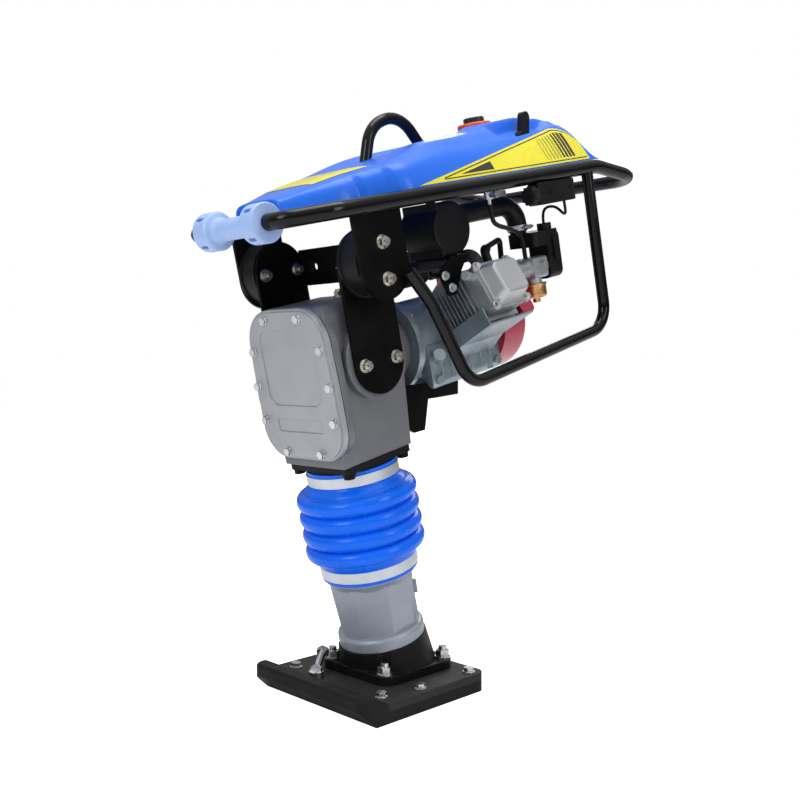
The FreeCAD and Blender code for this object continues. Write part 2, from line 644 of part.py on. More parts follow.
def engine_shaft():
    """Crankshaft with the two clutch shoes at its front and the flywheel fan at its rear."""
    shaft = rod(SHAFT_R, V(0, DRUM_FRONT + 6, ENGINE_Z), V(0, SHROUD_END - 6, ENGINE_Z))
    shoes = ring(DRUM_R - DRUM_WALL - 1.5, SHAFT_R - 0.5,
                 V(0, DRUM_FRONT + 8, ENGINE_Z), V(0, DRUM_REAR - 3, ENGINE_Z))
    shoes = shoes.cut(box(-60, 60, 80, 120, ENGINE_Z - 3, ENGINE_Z + 3)).fuse(
        rod(SHAFT_R, V(0, 92, ENGINE_Z), V(0, 110, ENGINE_Z)))
    wheel = rod(72, V(0, CASE_END + 5, ENGINE_Z), V(0, CASE_END + 17, ENGINE_Z))
    blade = box(38, 72, CASE_END + 16, CASE_END + 32, ENGINE_Z - 1.5, ENGINE_Z + 1.5)
    blades = [blade.copy().rotate(V(0, 0, ENGINE_Z), Y, 30 * k) for k in range(12)]
    return fuse([shaft, shoes, wheel] + blades)


def fan_shroud():
    """Pressed cup round the flywheel, with a wing that leads the air over the cylinder."""
    cup = rod(RECOIL_R, V(0, CASE_END, ENGINE_Z), V(0, SHROUD_END, ENGINE_Z))
    wing = on_cylinder(rounded(box(30, 146, 62, SHROUD_END - CYL_Y - 18, -54, 54), 10, lambda e: along(e, X)))
    inside = rod(RECOIL_R - 6, V(0, CASE_END + 3, ENGINE_Z), V(0, SHROUD_END + 1, ENGINE_Z))
    hub = rod(40, V(0, CASE_END - 1, ENGINE_Z), V(0, CASE_END + 4, ENGINE_Z))
    return fuse([cup, wing.cut(rod(70, V(0, 100, ENGINE_Z), V(0, CASE_END, ENGINE_Z)))]).cut(inside).cut(hub)


def recoil_housing():
    """Round starter cover with a grid of slots and a guide for the rope."""
    cup = rounded(rod(RECOIL_R, V(0, SHROUD_END, ENGINE_Z), V(0, RECOIL_END, ENGINE_Z)), 12,
                  lambda e: e.Length > 500 and e.CenterOfMass.y > RECOIL_END - 1)
    inside = rod(RECOIL_R - 8, V(0, SHROUD_END - 1, ENGINE_Z), V(0, RECOIL_END - 4, ENGINE_Z))
    cup = cup.cut(inside)
    for k in range(16):
        slot = box(58, 80, RECOIL_END - 8, RECOIL_END + 1, ENGINE_Z - 3, ENGINE_Z + 3)
        cup = cup.cut(slot.rotate(V(0, 0, ENGINE_Z), Y, 22.5 * k + 11))
    guide = rod(15, V(-62, 388, ENGINE_Z + 62), V(-84, 388, ENGINE_Z + 84))
    guide = guide.cut(rod(RECOIL_R - 6, V(0, SHROUD_END - 1, ENGINE_Z), V(0, RECOIL_END - 3, ENGINE_Z)))
    cup = cup.fuse(guide)
    return cup.cut(rod(4, V(-30, 388, ENGINE_Z + 30), V(-90, 388, ENGINE_Z + 90)))


PULLEY_R = 45.0


def recoil_pulley():
    groove = ring(PULLEY_R + 4, PULLEY_R - 3, V(0, 384, ENGINE_Z), V(0, 392, ENGINE_Z))
    pulley = rod(PULLEY_R + 4, V(0, 381, ENGINE_Z), V(0, 395, ENGINE_Z)).cut(groove)
    return fuse([pulley, rod(9, V(0, 378, ENGINE_Z), V(0, RECOIL_END - 4.5, ENGINE_Z))])


def starter_grip():
    """T-shaped pull grip with the end of its rope."""
    seat = V(-85, 388, ENGINE_Z + 85)
    out = V(-1, 0, 1).normalize()
    bar = rounded(box(-9, 9, -34, 34, 4, 20), 6, lambda e: True)
    bar.Placement = FreeCAD.Placement(seat, FreeCAD.Rotation(Z, out))
    return fuse([bar, rod(11, seat + out, seat + out * 8), rod(2.5, seat - out * 40, seat + out * 5)])


def finned_cylinder():
    """Air-cooled barrel and head: square fins on a round core."""
    core = rod(40, V(76, 0, 0), V(150, 0, 0))
    fins = [box(80 + 9 * k, 82.5 + 9 * k, -50, 50, -50, 50) for k in range(8)]
    head = rounded(box(150, HEAD_REACH - 5, -45, 45, -43, 43), 8, lambda e: along(e, X))
    port = rod(17, V(160, 30, 20), V(160, 62, 20))
    plug = rod(8, V(162, -20, 20), V(176, -66, 30))
    return on_cylinder(fuse([core, head, port, plug] + fins))


def cylinder_cowl():
    """Bent sheet below the cylinder that steers the cooling air."""
    lower = box(84, 168, -58, 60, -62, -59)
    front = box(84, 168, -58, -55, -62, -30)
    skirt = prism([V(84, -58, -62), V(84, 60, -62), V(46, 60, -74), V(46, -40, -74)], Z * 3)
    return on_cylinder(fuse([lower, front, skirt]))


ROCKER_HOLES = [(y, z) for y in (-40, 40) for z in (-37, 37)]


def rocker_cover():
    """Pressed dome on a thin four-cornered flange."""
    rim = fuse([box(0, 5, -41, 41, -39, 39)] + [rod(8.5, V(0, y, z), V(5, y, z)) for y, z in ROCKER_HOLES])
    def loop(half_y, half_z, x):
        return Part.makePolygon([V(x, -half_y, -half_z), V(x, half_y, -half_z), V(x, half_y, half_z),
                                 V(x, -half_y, half_z), V(x, -half_y, -half_z)])
    dome = Part.makeLoft([loop(38, 37, 4), loop(31, 30, 31)], True, True)
    dome = dome.makeFillet(13, [e for e in dome.Edges if abs(e.tangentAt(e.FirstParameter).x) > 0.5])
    dome = dome.makeFillet(5, [e for e in dome.Edges if e.CenterOfMass.x > 30.5])
    cover = fuse([rim, dome])
    cover.translate(V(HEAD_REACH - 5, 0, 0))
    return on_cylinder(cover)


def engine_bolts():
    """Rocker cover, adapter, starter and bracket screws."""
    axis = V(COS_TILT, 0, SIN_TILT)
    bolts = [bolt(cylinder_point(HEAD_REACH, y, z), axis, 3, 12, 10, 6.5) for y, z in ROCKER_HOLES]
    for k in range(4):
        a = math.radians(45 + 90 * k)
        bolts.append(bolt(V(74 * math.sin(a), BELL_REAR + 13, ENGINE_Z + 74 * math.cos(a)), Y, 4, 11, 12, 6.5)
                     .cut(rod(71.2, V(0, BELL_REAR + 14, ENGINE_Z), V(0, 200, ENGINE_Z))))
    for k in range(3):
        a = math.radians(30 + 120 * k)
        bolts.append(bolt(V(46 * math.sin(a), RECOIL_END, ENGINE_Z + 46 * math.cos(a)), Y, 2.5, 4, 9, 6))
    bolts += [bolt(p, X, 3.5, 4, 11, 8) for p in AIR_FOOT]
    return Part.makeCompound(bolts)


AIR_X = 118.0
AIR_FOOT = [V(AIR_X + 4, 168, 687), V(AIR_X + 4, 181, 665)]
AIR_Y0, AIR_YC, AIR_ZC, AIR_R = 187.0, 220.0, 762.0, 46.0


def air_cleaner():
    """Canister: flat front, half-round rear, thin lid seam."""
    body = fuse([box(27, 110, AIR_Y0, AIR_YC, AIR_ZC - AIR_R, AIR_ZC + AIR_R),
                 rod(AIR_R, V(27, AIR_YC, AIR_ZC), V(110, AIR_YC, AIR_ZC))])
    body = rounded(body, 5, lambda e: e.CenterOfMass.x > 109 or e.CenterOfMass.x < 28)
    return body.cut(box(90, 92, 150, AIR_Y0 + 2, 700, 820))


def brackets():
    """Plate under the air cleaner with its two-bolt foot, and the two braces below the crankcase."""
    tray = box(40, AIR_X + 4, AIR_Y0 + 4, 236, AIR_ZC - AIR_R - 4, AIR_ZC - AIR_R)
    foot = prism([V(AIR_X, 236, 716), V(AIR_X, 192, 716), V(AIR_X, 158, 694), V(AIR_X, 160, 682),
                  V(AIR_X, 172, 652), V(AIR_X, 192, 652), V(AIR_X, 212, 690)], X * 4)
    foot = rounded(foot, 7, lambda e: along(e, X) and e.CenterOfMass.z < 700)
    air = fuse([tray, foot])
    brace = prism([V(54, CASE_REAR, 520), V(54, 228, ENGINE_Z - 84), V(54, 222, 470), V(54, 146, 480),
                   V(54, 126, 430), V(54, 100, 432), V(54, CASE_REAR, 452)], X * 6)
    return Part.makeCompound([air] + both_sides(brace))


def carburettor():
    """Inlet pipe from the head, throttle body and its flange."""
    start = cylinder_point(160, 62, 20)
    pipe = rod(17, start, V(start.x, 368, start.z))
    body = box(start.x - 20, start.x + 20, 368, 408, start.z - 20, start.z + 18)
    body = rounded(body, 6, lambda e: along(e, Y))
    throat = rod(18, V(start.x, 408, start.z), V(start.x, 414, start.z))
    screw = rod(4, V(start.x + 15, 388, start.z + 6), V(start.x + 30, 388, start.z + 6))
    neck = rod(14, V(start.x, 388, start.z - 30), V(start.x, 388, start.z - 10))
    return fuse([pipe, body, throat, screw, neck])


CARB = cylinder_point(160, 126, 20)


def float_bowl():
    top = V(CARB.x, 388, CARB.z - 30)
    bowl = rounded(rod(20, top - Z * 26, top), 7, lambda e: e.CenterOfMass.z < top.z - 25 and e.Length > 60)
    return fuse([bowl, hexagon(13, top - Z * 26, -Z, 8), rod(21.5, top - Z * 3, top)])


def intake_housing():
    """Moulded elbow behind the carburettor that rises to the hose."""
    low = rounded(box(CARB.x - 22, CARB.x + 22, 414, 450, CARB.z - 26, 728), 14, lambda e: along(e, Y))
    arm = rounded(box(92, CARB.x + 22, 380, 452, 702, 728), 9, lambda e: along(e, Z))
    spout = rod(15, V(HOSE_X, HOSE_Y, 726), V(HOSE_X, HOSE_Y, 752))
    lid = rod(13, V(CARB.x + 4, 434, 726), V(CARB.x + 4, 434, 740))
    return fuse([low, arm, spout, lid])


HOSE_X, HOSE_Y, HOSE_R = 110.0, 393.0, 17.5


def intake_hose():
    """Rubber elbow from the air cleaner to the intake."""
    mouth = V(HOSE_X - 20, AIR_YC + AIR_R - 6, 781)
    corner, end = V(HOSE_X, HOSE_Y, 783), V(HOSE_X, HOSE_Y, 732)
    hose = bent_rod([mouth, corner, end], [36], HOSE_R)
    return hose.cut(rod(15, end - Z, end + Z * 20))


def hose_clamp():
    band = ring(HOSE_R + 1.6, HOSE_R, V(HOSE_X, HOSE_Y, 734), V(HOSE_X, HOSE_Y, 744))
    lug = box(HOSE_X + HOSE_R + 1, HOSE_X + HOSE_R + 11, HOSE_Y - 5, HOSE_Y + 5, 735, 743)
    screw = rod(2.6, V(HOSE_X + HOSE_R + 6, HOSE_Y - 11, 739), V(HOSE_X + HOSE_R + 6, HOSE_Y + 14, 739))
    return fuse([band, lug, screw])


def plug_lead():
    """Plug cap and its lead, from the top of the head back to the coil behind the shroud's wing."""
    plug = cylinder_point(160, 24, 42)
    bend = plug + V(-8, 0, 30)
    lead = bent_rod([plug, bend, V(104, 345, 726), V(84, 366, 680)], [18, 14], 5)
    return fuse([lead, bent_rod([plug, bend, V(108, 300, 714)], [14], 8)])


def muffler():
    """Box silencer on the far side of the cylinder, with its pipe and outlet."""
    body = rounded(box(-128, -30, 196, 300, 664, 728), 16, lambda e: True)
    body = body.cut(box(-114, -44, 210, 286, 678, 714))
    pipe = bent_rod([V(-40, 250, 696), cylinder_point(165, -8, 68), cylinder_point(165, -8, 43)], [20], 11)
    outlet = rod(9, V(-120, 225, 700), V(-146, 225, 700))
    return fuse([body, pipe, outlet])


def choke_lever():
    hub = V(CARB.x + 22, 432, CARB.z + 14)
    arm = rounded(box(hub.x + 1, hub.x + 4, 427, 437, hub.z - 6, hub.z + 34), 3, lambda e: along(e, X))
    return fuse([arm, rod(7, hub + X * 0.3, hub + X * 6)])


# ---------------------------------------------------------------- handle
TUBE_WALL = 2.5
AXLE_R = TUBE_R - TUBE_WALL
GUARD_R, HOOK_R = 10.5, 10.3
PLATE_X = BRACKET_X + BRACKET_T + MOUNT_LEN


def rail_x(y):
    return RAIL_X_FRONT + (RAIL_X_REAR - RAIL_X_FRONT) * (y - RAIL_Y_FRONT) / (RAIL_Y_REAR - RAIL_Y_FRONT)


def rail_z(y):
    return RAIL_Z + RAIL_SLOPE * (y - ROLLER_Y)


def handle_path():
    """Corner points of the handle, from the roller's +X end round the grip to its -X end."""
    half = [V(ROLLER_LEN / 2 + 1, ROLLER_Y, RAIL_Z), V(112, ROLLER_Y, RAIL_Z),
            V(RAIL_X_FRONT, RAIL_Y_FRONT, rail_z(RAIL_Y_FRONT)),
            V(RAIL_X_REAR, RAIL_Y_REAR, rail_z(RAIL_Y_REAR)),
            V(RAIL_X_REAR, GRIP_Y, rail_z(RAIL_Y_REAR) + GRIP_SLOPE * (GRIP_Y - RAIL_Y_REAR))]
    return half + [V(-p.x, p.y, p.z) for p in reversed(half)]


HANDLE_RADII = [28, 60, 120, 60, 60, 120, 60, 28]


def handle_tube():
    return bent_tube(handle_path(), HANDLE_RADII, TUBE_R, TUBE_WALL)


def rail_envelope():
    return bent_rod(handle_path(), HANDLE_RADII, TUBE_R)


def side_guards():
    """Two round bars that hang from the rails and protect the engine."""
    points = [V(165, 43, 712), V(173, 74, 655), V(191, 114, 514), V(200, 502, 534),
              V(rail_x(505), 505, rail_z(505) - 2)]
    return both_sides(bent_rod(points, [70, 42, 48], GUARD_R).cut(rail_envelope()))


def handle_plates():
    """Plates under the rails that carry the rubber mounts."""
    r = 51.0
    plate = fuse([rod(r, V(PLATE_X, BRACKET_Y, MOUNT_Z - 9), V(PLATE_X + BRACKET_T, BRACKET_Y, MOUNT_Z - 9)),
                  box(PLATE_X, PLATE_X + BRACKET_T, BRACKET_Y - r, BRACKET_Y + r, MOUNT_Z - 9, RAIL_Z)])
    return both_sides(plate.cut(rail_envelope()))


def handle_bolts():
    bolts = []
    for s in (-1, 1):
        seat = V(PLATE_X + BRACKET_T, BRACKET_Y, MOUNT_Z + s * OUTER_BOLT_Z)
        bolts += both_sides(nut_and_stud(seat, X, BRACKET_T + 16))
    return Part.makeCompound(bolts)


def roller_axle():
    half = ROLLER_LEN / 2 + 16
    return rod(AXLE_R, V(-half, ROLLER_Y, RAIL_Z), V(half, ROLLER_Y, RAIL_Z))


def roller():
    """Transport roller: two collars on a thinner barrel, joined by coned steps."""
    half = ROLLER_LEN / 2
    collar, barrel = ROLLER_R, 17.0
    steps = [(0, 0), (half, 0), (half, collar - 2), (half - 2, collar), (half - 29, collar),
             (half - 33, collar - 3), (half - 36, barrel + 4), (half - 44, barrel), (0, barrel)]
    outline = [V(x, radius, 0) for x, radius in steps]
    right = Part.Face(Part.makePolygon(outline + [outline[0]])).revolve(V(0, 0, 0), X, 360)
    whole = fuse(both_sides(right)).cut(rod(AXLE_R + SLIDE_CLEAR, V(-half - 1, 0, 0), V(half + 1, 0, 0)))
    for s in (-1, 1):
        for k in range(4):
            slot = fuse([rod(3.5, V(s * 62 + d, 0, 20), V(s * 62 + d, 0, 40)) for d in (-5, 5)]
                        + [box(s * 62 - 5, s * 62 + 5, -3.5, 3.5, 20, 40)])
            whole = whole.cut(slot.rotate(V(0, 0, 0), X, 45 + 90 * k))
    whole.translate(V(0, ROLLER_Y, RAIL_Z))
    return whole


TANK_FRONT, TANK_REAR = -97.0, 512.0
TANK_LOW = 822.0
CAP_Y, CAP_Z = 375.0, 921.0


def tank_section(y, half, top, inset):
    """Six-sided section of the tank, with sloping shoulders."""
    half, top, low = half - inset, top - inset, TANK_LOW + inset
    points = [V(-half, y, low), V(half, y, low), V(half, y, top - SHOULDER), V(half - SHOULDER, y, top),
              V(SHOULDER - half, y, top), V(-half, y, top - SHOULDER)]
    return Part.makePolygon(points + [points[0]])


SHOULDER = 22.0


def tank_shape(inset):
    """The tank's outside, or its inside when inset, which starts behind the low nose. Its rear is round."""
    beyond = TANK_REAR + 50
    stations = [(60, rail_x(60) - 6, 885), (200, rail_x(200) - 6, 903),
                (360, rail_x(360) - 6, 915), (beyond, rail_x(beyond) - 6, 925)]
    if not inset:
        stations = [(TANK_FRONT, 56, 854), (-42, 132, 868)] + stations
    body = Part.makeLoft([tank_section(y, half, top, inset) for y, half, top in stations], True, True)
    low_rear, top_rear = V(-250, TANK_REAR - inset, TANK_LOW - 5), V(-250, 518 - inset, 940)
    rear = Part.Arc(low_rear, V(-250, 549 - inset, 898), top_rear).toShape()
    top_front, low_front = V(-250, TANK_FRONT - 5, 940), V(-250, TANK_FRONT - 5, TANK_LOW - 5)
    rest = Part.makePolygon([top_rear, top_front, low_front, low_rear])
    return body.common(Part.Face(Part.Wire([rear] + rest.Edges)).extrude(X * 500))


def lever_room(reach, half):
    """The space that the throttle lever sweeps, above its hub and a little below."""
    hub = V(LEVER_X, LEVER_Y, LEVER_Z)
    below = half + 9
    disc = rod(reach, hub - X * half, hub + X * half)
    return disc.common(box(hub.x - half, hub.x + half, hub.y - reach, hub.y + reach,
                           hub.z - below, hub.z + reach))


def fuel_tank():
    """Moulded tank and hood in one: rounded shell, step beside the rails, filler neck and lever recess."""
    shell = tank_shape(0)
    neck = rod(24, V(CAP_X, CAP_Y, 905), V(CAP_X, CAP_Y, CAP_Z + 4))
    seat = rod(40, V(CAP_X, CAP_Y, 900), V(CAP_X, CAP_Y, CAP_Z - 3))
    shell = shell.cut(rod(36, V(CAP_X, CAP_Y, CAP_Z - 3), V(CAP_X, CAP_Y, CAP_Z + 20)))
    shell = shell.cut(lever_room(LEVER_REACH + 2, 11))
    tank = shell.fuse(seat).fuse(neck)
    tank = tank.cut(rail_envelope())
    inside = tank_shape(9)
    inside = inside.cut(lever_room(LEVER_REACH + 11, 20))
    inside = inside.cut(rod(44, V(CAP_X, CAP_Y, 895), V(CAP_X, CAP_Y, 940)))
    return tank.cut(inside)


CAP_X = 60.0


def fuel_cap():
    """Screw cap with a notched black grip ring."""
    foot = V(CAP_X, CAP_Y, CAP_Z)
    cup = rod(31, foot - Z * 2, foot + Z * 15).cut(rod(24 + SLIDE_CLEAR, foot - Z * 3, foot + Z * 4))
    cup = rounded(cup, 4, lambda e: e.CenterOfMass.z > foot.z + 14)
    knob = rounded(rod(19, foot + Z * 15, foot + Z * 25), 3, lambda e: e.CenterOfMass.z > foot.z + 24)
    for k in range(10):
        edge = foot + V(20 * math.cos(2 * math.pi * k / 10), 20 * math.sin(2 * math.pi * k / 10), 0)
        knob = knob.cut(rod(3, edge + Z * 17, edge + Z * 26))
    return fuse([cup, knob])


LEVER_X, LEVER_Y, LEVER_Z = 122.0, 430.0, 893.0
LEVER_REACH = 50.0         # hub to the arm's round end


def throttle_lever():
    """Hub on the tank's shoulder and a thick arm that rises above it."""
    hub = V(LEVER_X, LEVER_Y, LEVER_Z)
    end = LEVER_REACH - 10
    arm = fuse([box(-6, 6, -10, 10, 0, end), rod(10, V(-6, 0, end), V(6, 0, end))])
    arm.rotate(V(0, 0, 0), X, -14)
    arm.translate(hub)
    return fuse([arm, rod(17, hub - X * 7, hub + X * 7)])


def lifting_hook():
    points = [V(0, 128, 845), V(0, 172, 953), V(0, 248, 971), V(0, 336, 845)]
    return bent_rod(points, [60, 60], HOOK_R)


SWITCH_Y0, SWITCH_Y1 = 352.0, 458.0


def switch_box():
    """Flat box below the +X rail, with a clip and two screws."""
    x = rail_x(405)
    case = rounded(box(x - 12, x + 10, SWITCH_Y0, SWITCH_Y1, 774, 812), 4, lambda e: along(e, X))
    screws = [rod(5, V(x + 10, y, 796), V(x + 13, y, 796)) for y in (SWITCH_Y0 + 38, SWITCH_Y1 - 8)]
    return fuse([case] + screws).cut(rail_envelope())


def stop_knob():
    """Round stop switch at the front end of the switch box."""
    foot = V(rail_x(405) - 1, SWITCH_Y0 - 0.3, 792)
    knob = rounded(rod(15, foot, foot - Y * 16), 2, lambda e: e.CenterOfMass.y < SWITCH_Y0 - 15)
    ribs = []
    for k in range(12):
        edge = foot + V(15 * math.cos(2 * math.pi * k / 12), 0, 15 * math.sin(2 * math.pi * k / 12))
        ribs.append(rod(2.2, edge - Y * 15, edge - Y * 3))
    return fuse([knob] + ribs)


def throttle_cable():
    """Sheathed cable from the switch box down to the intake lid."""
    x = rail_x(405)
    points = [V(x - 2, SWITCH_Y1 - 20, 773.6), V(x - 2, SWITCH_Y1 - 18, 745), V(CARB.x + 10, 466, 762),
              V(CARB.x + 4, 434, 760), V(CARB.x + 4, 434, 740.3)]
    return bent_rod(points, soft_radii(points), 3)


COCK = V(148, 279, TANK_LOW)


def fuel_cock():
    return fuse([rod(8, COCK - Z * 24, COCK), hexagon(20, COCK - Z * 10, Z, 6),
                 rod(6, COCK - Z * 17, COCK + V(13, 0, -17)), rod(4, COCK - Z * 32, COCK - Z * 22)])


def fuel_lever():
    foot = COCK + V(13.3, 0, -17)
    blade = rounded(box(foot.x, foot.x + 4, foot.y - 5, foot.y + 26, foot.z - 5, foot.z + 5), 3,
                    lambda e: along(e, X))
    return fuse([blade, rod(6, foot, foot + X * 6)])


def fuel_hose():
    """Rubber hose from the fuel cock down to the throttle body."""
    x, y = COCK.x, COCK.y
    points = [COCK - Z * 32.3, V(x, y, 758), V(x - 6, 350, 744), V(CARB.x, 372, 716),
              V(CARB.x, 372, CARB.z + 18.3)]
    return bent_rod(points, soft_radii(points), 4)


# ---------------------------------------------------------------- assembly
def without(shape, *others):
    """Cut away what another piece of the same body fills."""
    for other in others:
        shape = shape.cut(other)
    return shape


def solid_parts(shape):
    """A group as a compound of its solids, a single solid as it is."""
    solids = [s for part in (shape if isinstance(shape, list) else [shape]) for s in part.Solids]
    return solids[0] if len(solids) == 1 else Part.makeCompound(solids)


upright = {
    "sole_pad": without(sole_pad(), sole_bolts(), foot_studs()),
    "sole_plate": without(sole_plate(), foot_studs()),
    "sole_bolts": sole_bolts(),
    "foot_casting": without(foot_casting(), leaned(leg_cylinder())),
    "foot_studs": foot_studs(),
}

case_bolts = solid_parts([bracket_bolts(), base_bolts(), cover_bolts()])
column = {
    "leg_cylinder": leg_cylinder(),
    "spring_cylinder": spring_cylinder(),
    "ram_springs": ram_springs(),
    "lower_clamp": lower_clamp(),
    "bellows": bellows(),
    "ram_rod": ram_rod(),
    "connecting_rod": connecting_rod(),
    "crank_gear": crank_gear(),
    "clutch_drum": clutch_drum(),
    "guide_cylinder": without(guide_cylinder(), base_bolts()),
    "base_bolts": base_bolts(),
    "hose_clamps": [upper_clamp(), hose_clamp()],
    "gear_case": without(gear_case(), case_bolts, breather_plug()),
    "cover_gasket": cover_gasket(),
    "case_cover": case_cover(),
    "cover_bolts": cover_bolts(),
    "breather_plug": breather_plug(),
    "handle_bracket": without(handle_bracket(), bracket_bolts()),
    "bracket_bolts": bracket_bolts(),
    "rubber_mounts": rubber_mounts(),
    "crankcase": without(crankcase(), engine_bolts(), brackets()),
    "engine_shaft": engine_shaft(),
    "engine_brackets": without(brackets(), engine_bolts()),
    "engine_bolts": engine_bolts(),
    "finned_cylinder": without(finned_cylinder(), crankcase(), engine_bolts(), cylinder_cowl()),
    "cylinder_cowl": without(cylinder_cowl(), crankcase()),
    "rocker_cover": without(rocker_cover(), engine_bolts()),
    "fan_shroud": without(fan_shroud(), crankcase(), finned_cylinder(), cylinder_cowl()),
    "recoil_housing": without(recoil_housing(), engine_bolts(), fan_shroud()),
    "recoil_pulley": recoil_pulley(),
    "starter_grip": starter_grip(),
    "carburettor": without(carburettor(), finned_cylinder(), fan_shroud(), recoil_housing()),
    "float_bowl": without(float_bowl(), carburettor()),
    "intake_housing": without(intake_housing(), carburettor(), recoil_housing()),
    "choke_lever": choke_lever(),
    "air_cleaner": without(air_cleaner(), intake_hose()),
    "intake_hose": intake_hose(),
    "plug_lead": without(plug_lead(), finned_cylinder(), fan_shroud()),
    "muffler": muffler(),
    "handle_tube": handle_tube(),
    "side_guards": without(solid_parts(side_guards()), solid_parts(handle_plates())),
    "handle_plates": without(solid_parts(handle_plates()), handle_bolts()),
    "handle_bolts": handle_bolts(),
    "roller_axle": roller_axle(),
    "roller": roller(),
    "fuel_tank": without(fuel_tank(), lifting_hook()),
    "lifting_hook": lifting_hook(),
    "fuel_cap": fuel_cap(),
    "throttle_lever": throttle_lever(),
    "switch_box": switch_box(),
    "stop_knob": stop_knob(),
    "throttle_cable": throttle_cable(),
    "fuel_cock": fuel_cock(),
    "fuel_lever": fuel_lever(),
    "fuel_hose": fuel_hose(),
}

pieces = dict(upright)
pieces.update({node: leaned(solid_parts(shape)) for node, shape in column.items()})

os.makedirs("parts", exist_ok=True)
for node, shape in pieces.items():
    shape = solid_parts(shape)
    shape.exportStep("parts/%s.step" % node)
    box_of = shape.BoundBox
    print("%-18s %2d solids %9.1f cm3 valid=%s x %.0f..%.0f y %.0f..%.0f z %.0f..%.0f" % (
        node, len(shape.Solids), shape.Volume / 1000, shape.isValid(),
        box_of.XMin, box_of.XMax, box_of.YMin, box_of.YMax, box_of.ZMin, box_of.ZMax))
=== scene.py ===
"""Looks of the tamping rammer.

The CAD model is loaded as a fixed frame. The script gives it its materials, draws the bellows, the hood with
its decals, the cable, the hose and the rope as smooth meshes, and sets the light and the camera.
"""
import bmesh
import bpy
import json
import math
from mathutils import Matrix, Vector


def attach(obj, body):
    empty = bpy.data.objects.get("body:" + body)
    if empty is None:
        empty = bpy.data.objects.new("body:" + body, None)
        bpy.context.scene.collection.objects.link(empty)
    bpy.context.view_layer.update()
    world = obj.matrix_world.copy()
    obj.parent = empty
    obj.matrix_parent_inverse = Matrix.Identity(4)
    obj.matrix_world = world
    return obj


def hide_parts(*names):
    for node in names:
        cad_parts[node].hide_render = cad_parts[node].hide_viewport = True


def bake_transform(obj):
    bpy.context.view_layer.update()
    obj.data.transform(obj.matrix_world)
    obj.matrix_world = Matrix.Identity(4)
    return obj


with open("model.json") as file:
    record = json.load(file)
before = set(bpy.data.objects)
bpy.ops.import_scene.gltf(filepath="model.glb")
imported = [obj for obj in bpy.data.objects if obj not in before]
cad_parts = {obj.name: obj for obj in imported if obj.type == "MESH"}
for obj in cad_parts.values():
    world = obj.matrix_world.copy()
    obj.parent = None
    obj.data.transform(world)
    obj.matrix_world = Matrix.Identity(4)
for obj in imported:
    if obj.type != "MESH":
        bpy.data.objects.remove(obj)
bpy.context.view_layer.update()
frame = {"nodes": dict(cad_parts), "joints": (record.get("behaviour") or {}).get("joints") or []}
NODES = frame["nodes"]
JOINTS = {joint["name"]: joint for joint in frame["joints"]}

# ---------------------------------------------------------------- the column's own frame, from the joints
UP = Vector(JOINTS["leg_slide"]["axis"])
BACK = Vector(JOINTS["crank_turn"]["axis"])
SIDE = BACK.cross(UP)
LEG_PLACE = Vector(JOINTS["leg_slide"]["pos_m"])
COLUMN_BASE = LEG_PLACE - UP * (LEG_PLACE.z / UP.z)     # where the column's axis meets the floor


def at(x, y, z):
    """A point given in millimetres across, behind and along the leaning column."""
    return COLUMN_BASE + (SIDE * x + BACK * y + UP * z) / 1000


def in_column(place):
    """The opposite of at: a point's millimetres across, behind and along the column, to a hundredth."""
    reach = (Vector(place) - COLUMN_BASE) * 1000
    return tuple(round(reach.dot(axis), 2) for axis in (SIDE, BACK, UP))


def extent(node):
    """A node's lowest and highest millimetres across, behind and along the leaning column."""
    places = [in_column(vertex.co) for vertex in NODES[node].data.vertices]
    return tuple((min(values), max(values)) for values in zip(*places))


def joint_place(name):
    """Where a joint is, in millimetres across, behind and along the leaning column."""
    return in_column(JOINTS[name]["pos_m"])


# ---------------------------------------------------------------- materials
EDGE_RANGE = (0.90, 0.985)             # the softened normal against the true one: at an edge, and clear of it
WEAR_SCALE, WEAR_PATCHES, WEAR_MOST = 70.0, (0.45, 0.70), 0.55
DUST_COLOUR = (0.30, 0.29, 0.27)
DUST_RANGE = (0.55, 1.0)               # how far up a face points where dust starts, and where it is thickest
GLOSS_SCALE = 34.0
COAT_ROUGHNESS = 0.08
LEAST_LIGHT = 0.004                    # added to the light tone, so that black finishes vary too


def material(name):
    """A new material with its nodes, its links and its shader."""
    mat = bpy.data.materials.new(name)
    mat.use_nodes = True
    nodes, links = mat.node_tree.nodes, mat.node_tree.links
    return mat, nodes, links, nodes["Principled BSDF"]


def noise(nodes, links, coords, scale, detail=4.0, stretch=None):
    """A noise in object space, in cycles per metre; stretch squeezes it along an axis."""
    texture = nodes.new("ShaderNodeTexNoise")
    texture.inputs["Scale"].default_value = scale
    texture.inputs["Detail"].default_value = detail
    if stretch:
        mapping = nodes.new("ShaderNodeMapping")
        mapping.inputs["Scale"].default_value = stretch
        links.new(coords.outputs["Object"], mapping.inputs["Vector"])
        links.new(mapping.outputs["Vector"], texture.inputs["Vector"])
    else:
        links.new(coords.outputs["Object"], texture.inputs["Vector"])
    return texture.outputs["Fac"]


def spread(nodes, links, factor, low, high, low_at=0.35, high_at=0.65):
    """Map a factor to a range of numbers."""
    step = nodes.new("ShaderNodeMapRange")
    step.inputs["From Min"].default_value = low_at
    step.inputs["From Max"].default_value = high_at
    step.inputs["To Min"].default_value = low
    step.inputs["To Max"].default_value = high
    links.new(factor, step.inputs["Value"])
    return step.outputs["Result"]


